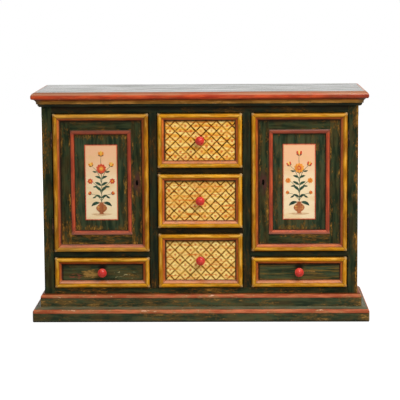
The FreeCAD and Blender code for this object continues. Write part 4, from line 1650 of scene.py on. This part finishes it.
        def border(work: BMesh) -> None:
            """Four mitred lines round the ground.

            Args:
                work: The mesh.
            """
            for index, after in ((0, 1), (1, 2), (2, 3), (3, 0)):
                corners = (rings[0][index], rings[0][after], rings[1][after], rings[1][index])
                outline = [self.put(point, 0.0) for point in corners]
                add_prism(work, outline, Vector((0, -self.border_lift, 0)))

        def laid(strokes: list[Stroke], work: BMesh) -> None:
            """Every stroke in one paint."""
            for stroke in strokes:
                stroke.build(work, self.put)

        ground_paint = PictureGround().material(self.side.word + "_picture_ground_paint", self.outline)
        self.add("ground", ground, ground_paint)
        self.add("border", border, PictureColour(Paint.RED).material("picture_red"))
        for paint, strokes in self.strokes.items():
            part = paint.name.lower()
            self.add(part, partial(laid, strokes), PictureColour(paint).material("picture_" + part))


@dataclass
class Door:
    """One cupboard door with its panel, mouldings, ironwork and picture."""

    side: Side
    green: DoorGreen
    moulding: MouldingPaint
    panel_wear: float
    hinges: Hinges = Hinges()
    lock_screw: ScrewHead = ScrewHead(3.5 * MM, 0.8 * MM, 1.0 * MM)
    lock_screw_inset: float = 7 * MM
    lock_screw_turn: float = 400.0

    def __post_init__(self) -> None:
        """Find the door in the frame and plan its picture."""
        self.name = self.side.word + "_door"
        self.outline = Rectangle.of_node(self.name + "_frame")
        self.picture = FlowerPicture(self.side)

    def build(self) -> None:
        """Paint the picture and put the screws in the hinge leaves and the lock."""
        self.picture.build()
        edge = self.outline.x + self.side.value * (self.outline.half_width + self.hinges.leaf)
        low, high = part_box(self.side.word + "_lock_case")
        inset = self.lock_screw_inset

        def heads(work: BMesh) -> None:
            """Three heads in each leaf and four in the lock case.

            Args:
                work: The mesh.
            """
            self.hinges.add_screws(work, self.side, edge, self.side.value, (23.0, 41.0))
            for x, start in ((low[0] + inset, 0.0), (high[0] - inset, 30.0)):
                for z in (low[2] + inset, high[2] - inset):
                    turn = start + self.lock_screw_turn * z
                    self.lock_screw.build(work, Vector((x, high[1], z)), Vector((0, 1, 0)), turn)

        new_piece(self.name + "_screws", heads, SCREW_IRON.material("rubbed_screws"), self.name)

    def dress(self) -> None:
        """Paint the wood and darken the iron."""
        word, name = self.side.word, self.name
        dress(self.green, name + "_green", name + "_frame", outline=self.outline)
        panel = PanelGreen(Run.UPRIGHT, self.panel_wear, Paint.PANEL_GREEN)
        dress(panel, word + "_panel_green", name + "_panel", outline=self.picture.outline)
        bead = name + "_bead"
        dress(BeadPaint(), bead + "_paint", bead, outline=Rectangle.of_node(bead))
        dress(self.moulding, name + "_moulding_paint", name + "_moulding", outline=self.outline)
        dress(IRON, "aged_iron", word + "_hinge_door_leaves", word + "_lock_case", word + "_lock_bolt")


@dataclass
class Drawer:
    """One drawer: front, moulding, knob and box."""

    name: str
    finish: LatticePaint | DrawerGreen

    def dress(self) -> None:
        """Paint the front and leave the box bare."""
        front, moulding = self.name + "_front", self.name + "_moulding"
        outline = Rectangle.of_node(front)
        dress(self.finish, front + "_paint", front, outline=outline)
        dress(MouldingPaint(), moulding + "_paint", moulding, outline=outline)
        dress(KnobPaint(), "knob_red", self.name + "_knob")
        dress(BarePine(Run.END_LEVEL), self.name + "_pine", self.name + "_box")


@dataclass(frozen=True)
class Lamp:
    """A soft rectangular lamp turned to the middle of the cabinet."""

    name: str
    place: Point3
    size: Point2
    watts: float
    target: Point3 = (0.0, 0.0, 0.5)

    def hang(self) -> None:
        """Hang the lamp in the scene."""
        data = bpy.data.lights.new(self.name, "AREA")
        data.shape = "RECTANGLE"
        data.size, data.size_y = self.size
        data.energy = self.watts
        lamp = bpy.data.objects.new(self.name, data)
        lamp.location = self.place
        aim = Vector(self.target) - Vector(self.place)
        lamp.rotation_euler = aim.to_track_quat("-Z", "Y").to_euler()
        bpy.context.scene.collection.objects.link(lamp)


@dataclass
class Studio:
    """White floor and surroundings, a soft lamp and the camera."""

    camera_place: Point3 = (0.13392, -6.38511, 1.34155)
    camera_pitch: float = 7.958
    camera_yaw: float = 1.2447
    camera_roll: float = -0.3886
    lens: float = 144.94
    sensor: float = 36.0
    sky: float = 0.36
    floor_size: float = 9.0
    floor_drop: float = 0.3 * MM
    floor_grey: float = 0.6
    floor_glow: float = 1.33
    shadow_reach: Point2 = (0.9, 2.4)
    shadow_white: float = 0.72
    lamps: tuple[Lamp, ...] = (Lamp("softbox", (1.4, -1.8, 2.8), (2.4, 1.2), 97.0),
                               Lamp("ceiling_panel", (0.1, -0.5, 3.0), (2.6, 0.5), 16.0))

    def build(self) -> None:
        """Set up everything round the object."""
        bpy.context.scene.view_settings.view_transform = "Standard"
        self.build_world()
        self.build_floor()
        for lamp in self.lamps:
            lamp.hang()
        self.add_camera()

    @staticmethod
    def show(graph: Graph, output: str, lit: Value, seen: Value, share: Feed = 1.0) -> None:
        """Join one shader for light and another for rays that show the background itself.

        Args:
            graph: The graph of the world or the floor.
            output: Type name of its output node.
            lit: The shader that lights the scene.
            seen: The shader for straight, reflected and refracted looks.
            share: How much of the second one those rays get.
        """
        path = graph.add("ShaderNodeLightPath", {}).outputs
        rays = [Value(graph, path[ray]) for ray in ("Is Camera Ray", "Is Glossy Ray", "Is Transmission Ray")]
        looks = rays[0].step("MAXIMUM", rays[1].step("MAXIMUM", rays[2])) * share
        graph.add(output, {"Surface": graph.value("ShaderNodeMixShader", {0: looks, 1: lit, 2: seen})})

    def build_world(self) -> None:
        """White background to look at, and a plainer level of light from it."""
        world = bpy.data.worlds.new("studio")
        bpy.context.scene.world = world
        world.use_nodes = True
        graph = Graph(world.node_tree)
        lights = [graph.value("ShaderNodeBackground", {"Color": WHITE, "Strength": strength})
                  for strength in (self.sky, 1.0)]
        self.show(graph, "ShaderNodeOutputWorld", *lights)

    def build_floor(self) -> None:
        """A wide pale floor, white to look at, that keeps the object's shadow."""
        work = bmesh.new()
        bmesh.ops.create_grid(work, x_segments=1, y_segments=1, size=self.floor_size)
        mesh = bpy.data.meshes.new("floor")
        work.to_mesh(mesh)
        work.free()
        floor = bpy.data.objects.new("floor", mesh)
        floor.location.z = -self.floor_drop
        bpy.context.scene.collection.objects.link(floor)
        material = bpy.data.materials.new("floor_white")
        material.use_nodes = True
        graph = Graph(material.node_tree)
        away = graph.value("ShaderNodeVectorMath", {0: graph.timber(Run.FLAT)}, "Value", operation="LENGTH")
        paper = graph.value("ShaderNodeBsdfDiffuse", {"Color": (self.floor_grey,) * 3 + (1.0,)})
        glow = graph.value("ShaderNodeEmission", {"Strength": self.floor_glow})
        share = away.band(*self.shadow_reach, self.shadow_white, 1.0)
        self.show(graph, "ShaderNodeOutputMaterial", paper, glow, share)
        mesh.materials.append(material)

    def add_camera(self) -> None:
        """Stand the camera where the photograph was taken from."""
        data = bpy.data.cameras.new("camera")
        data.lens = self.lens
        data.sensor_width = self.sensor
        camera = bpy.data.objects.new("camera", data)
        turn = Matrix.Rotation(math.radians(self.camera_yaw), 4, "Z")
        turn = turn @ Matrix.Rotation(math.radians(90 - self.camera_pitch), 4, "X")
        turn = turn @ Matrix.Rotation(math.radians(self.camera_roll), 4, "Z")
        camera.matrix_world = Matrix.Translation(self.camera_place) @ turn
        bpy.context.scene.collection.objects.link(camera)
        bpy.context.scene.camera = camera


def clear_start_scene() -> None:
    """Remove whatever the empty session holds besides the frame."""
    kept = set(frame["nodes"].values()) | set(frame["bodies"].values())
    for thing in list(bpy.data.objects):
        if thing not in kept:
            bpy.data.objects.remove(thing)


def make_doors() -> tuple[Door, ...]:
    """The two doors, each with its own wear.

    Returns:
        The doors.
    """
    return (Door(Side.LEFT, DoorGreen(1, spared_rails=0.36), MouldingPaint(chalk=0.1, dust=0.1, glaze=0.5),
                 panel_wear=1.05),
            Door(Side.RIGHT, DoorGreen(-1), MouldingPaint(chalk=0.0, glaze=0.5), panel_wear=0.7))


def make_drawers() -> tuple[Drawer, ...]:
    """The three centre drawers from the lowest up, and the low drawers with the marks on their fronts.

    Returns:
        The drawers.
    """
    left = DrawerGreen(rubbed=Spot(-46 * MM, -6 * MM, 60 * MM, 25 * MM, 1.3), scratched=0.2,
                       red=Spot(-104 * MM, -16 * MM, 32 * MM, 14 * MM),
                       chips=Spot(76 * MM, -12 * MM, 72 * MM, 30 * MM, 0.9))
    right = DrawerGreen(rubbed=Spot(30 * MM, -2 * MM, 110 * MM, 16 * MM, 0.55), scratched=0.75)
    lattices = (LatticePaint(21.9 * MM, 18.5 * MM, 0.45), LatticePaint(18.6 * MM, 19.2 * MM, 0.2),
                LatticePaint(21.5 * MM, 28.3 * MM))
    centre = (Drawer(f"centre_drawer_{row}", paint) for row, paint in enumerate(lattices, 1))
    return (*centre, Drawer("left_drawer", left), Drawer("right_drawer", right))


def main() -> None:
    """Build the cabinet's finishes and pieces in order."""
    logging.basicConfig(level=logging.INFO, format="%(name)s %(message)s")
    clear_start_scene()
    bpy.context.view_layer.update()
    carcass, doors = Carcass(), make_doors()
    for part in (carcass, *doors):
        part.build()
    for part in (carcass, TopAndCornice(), Plinth(), *doors, *make_drawers()):
        part.dress()
    Studio().build()


if __name__ == "__main__":
    main()
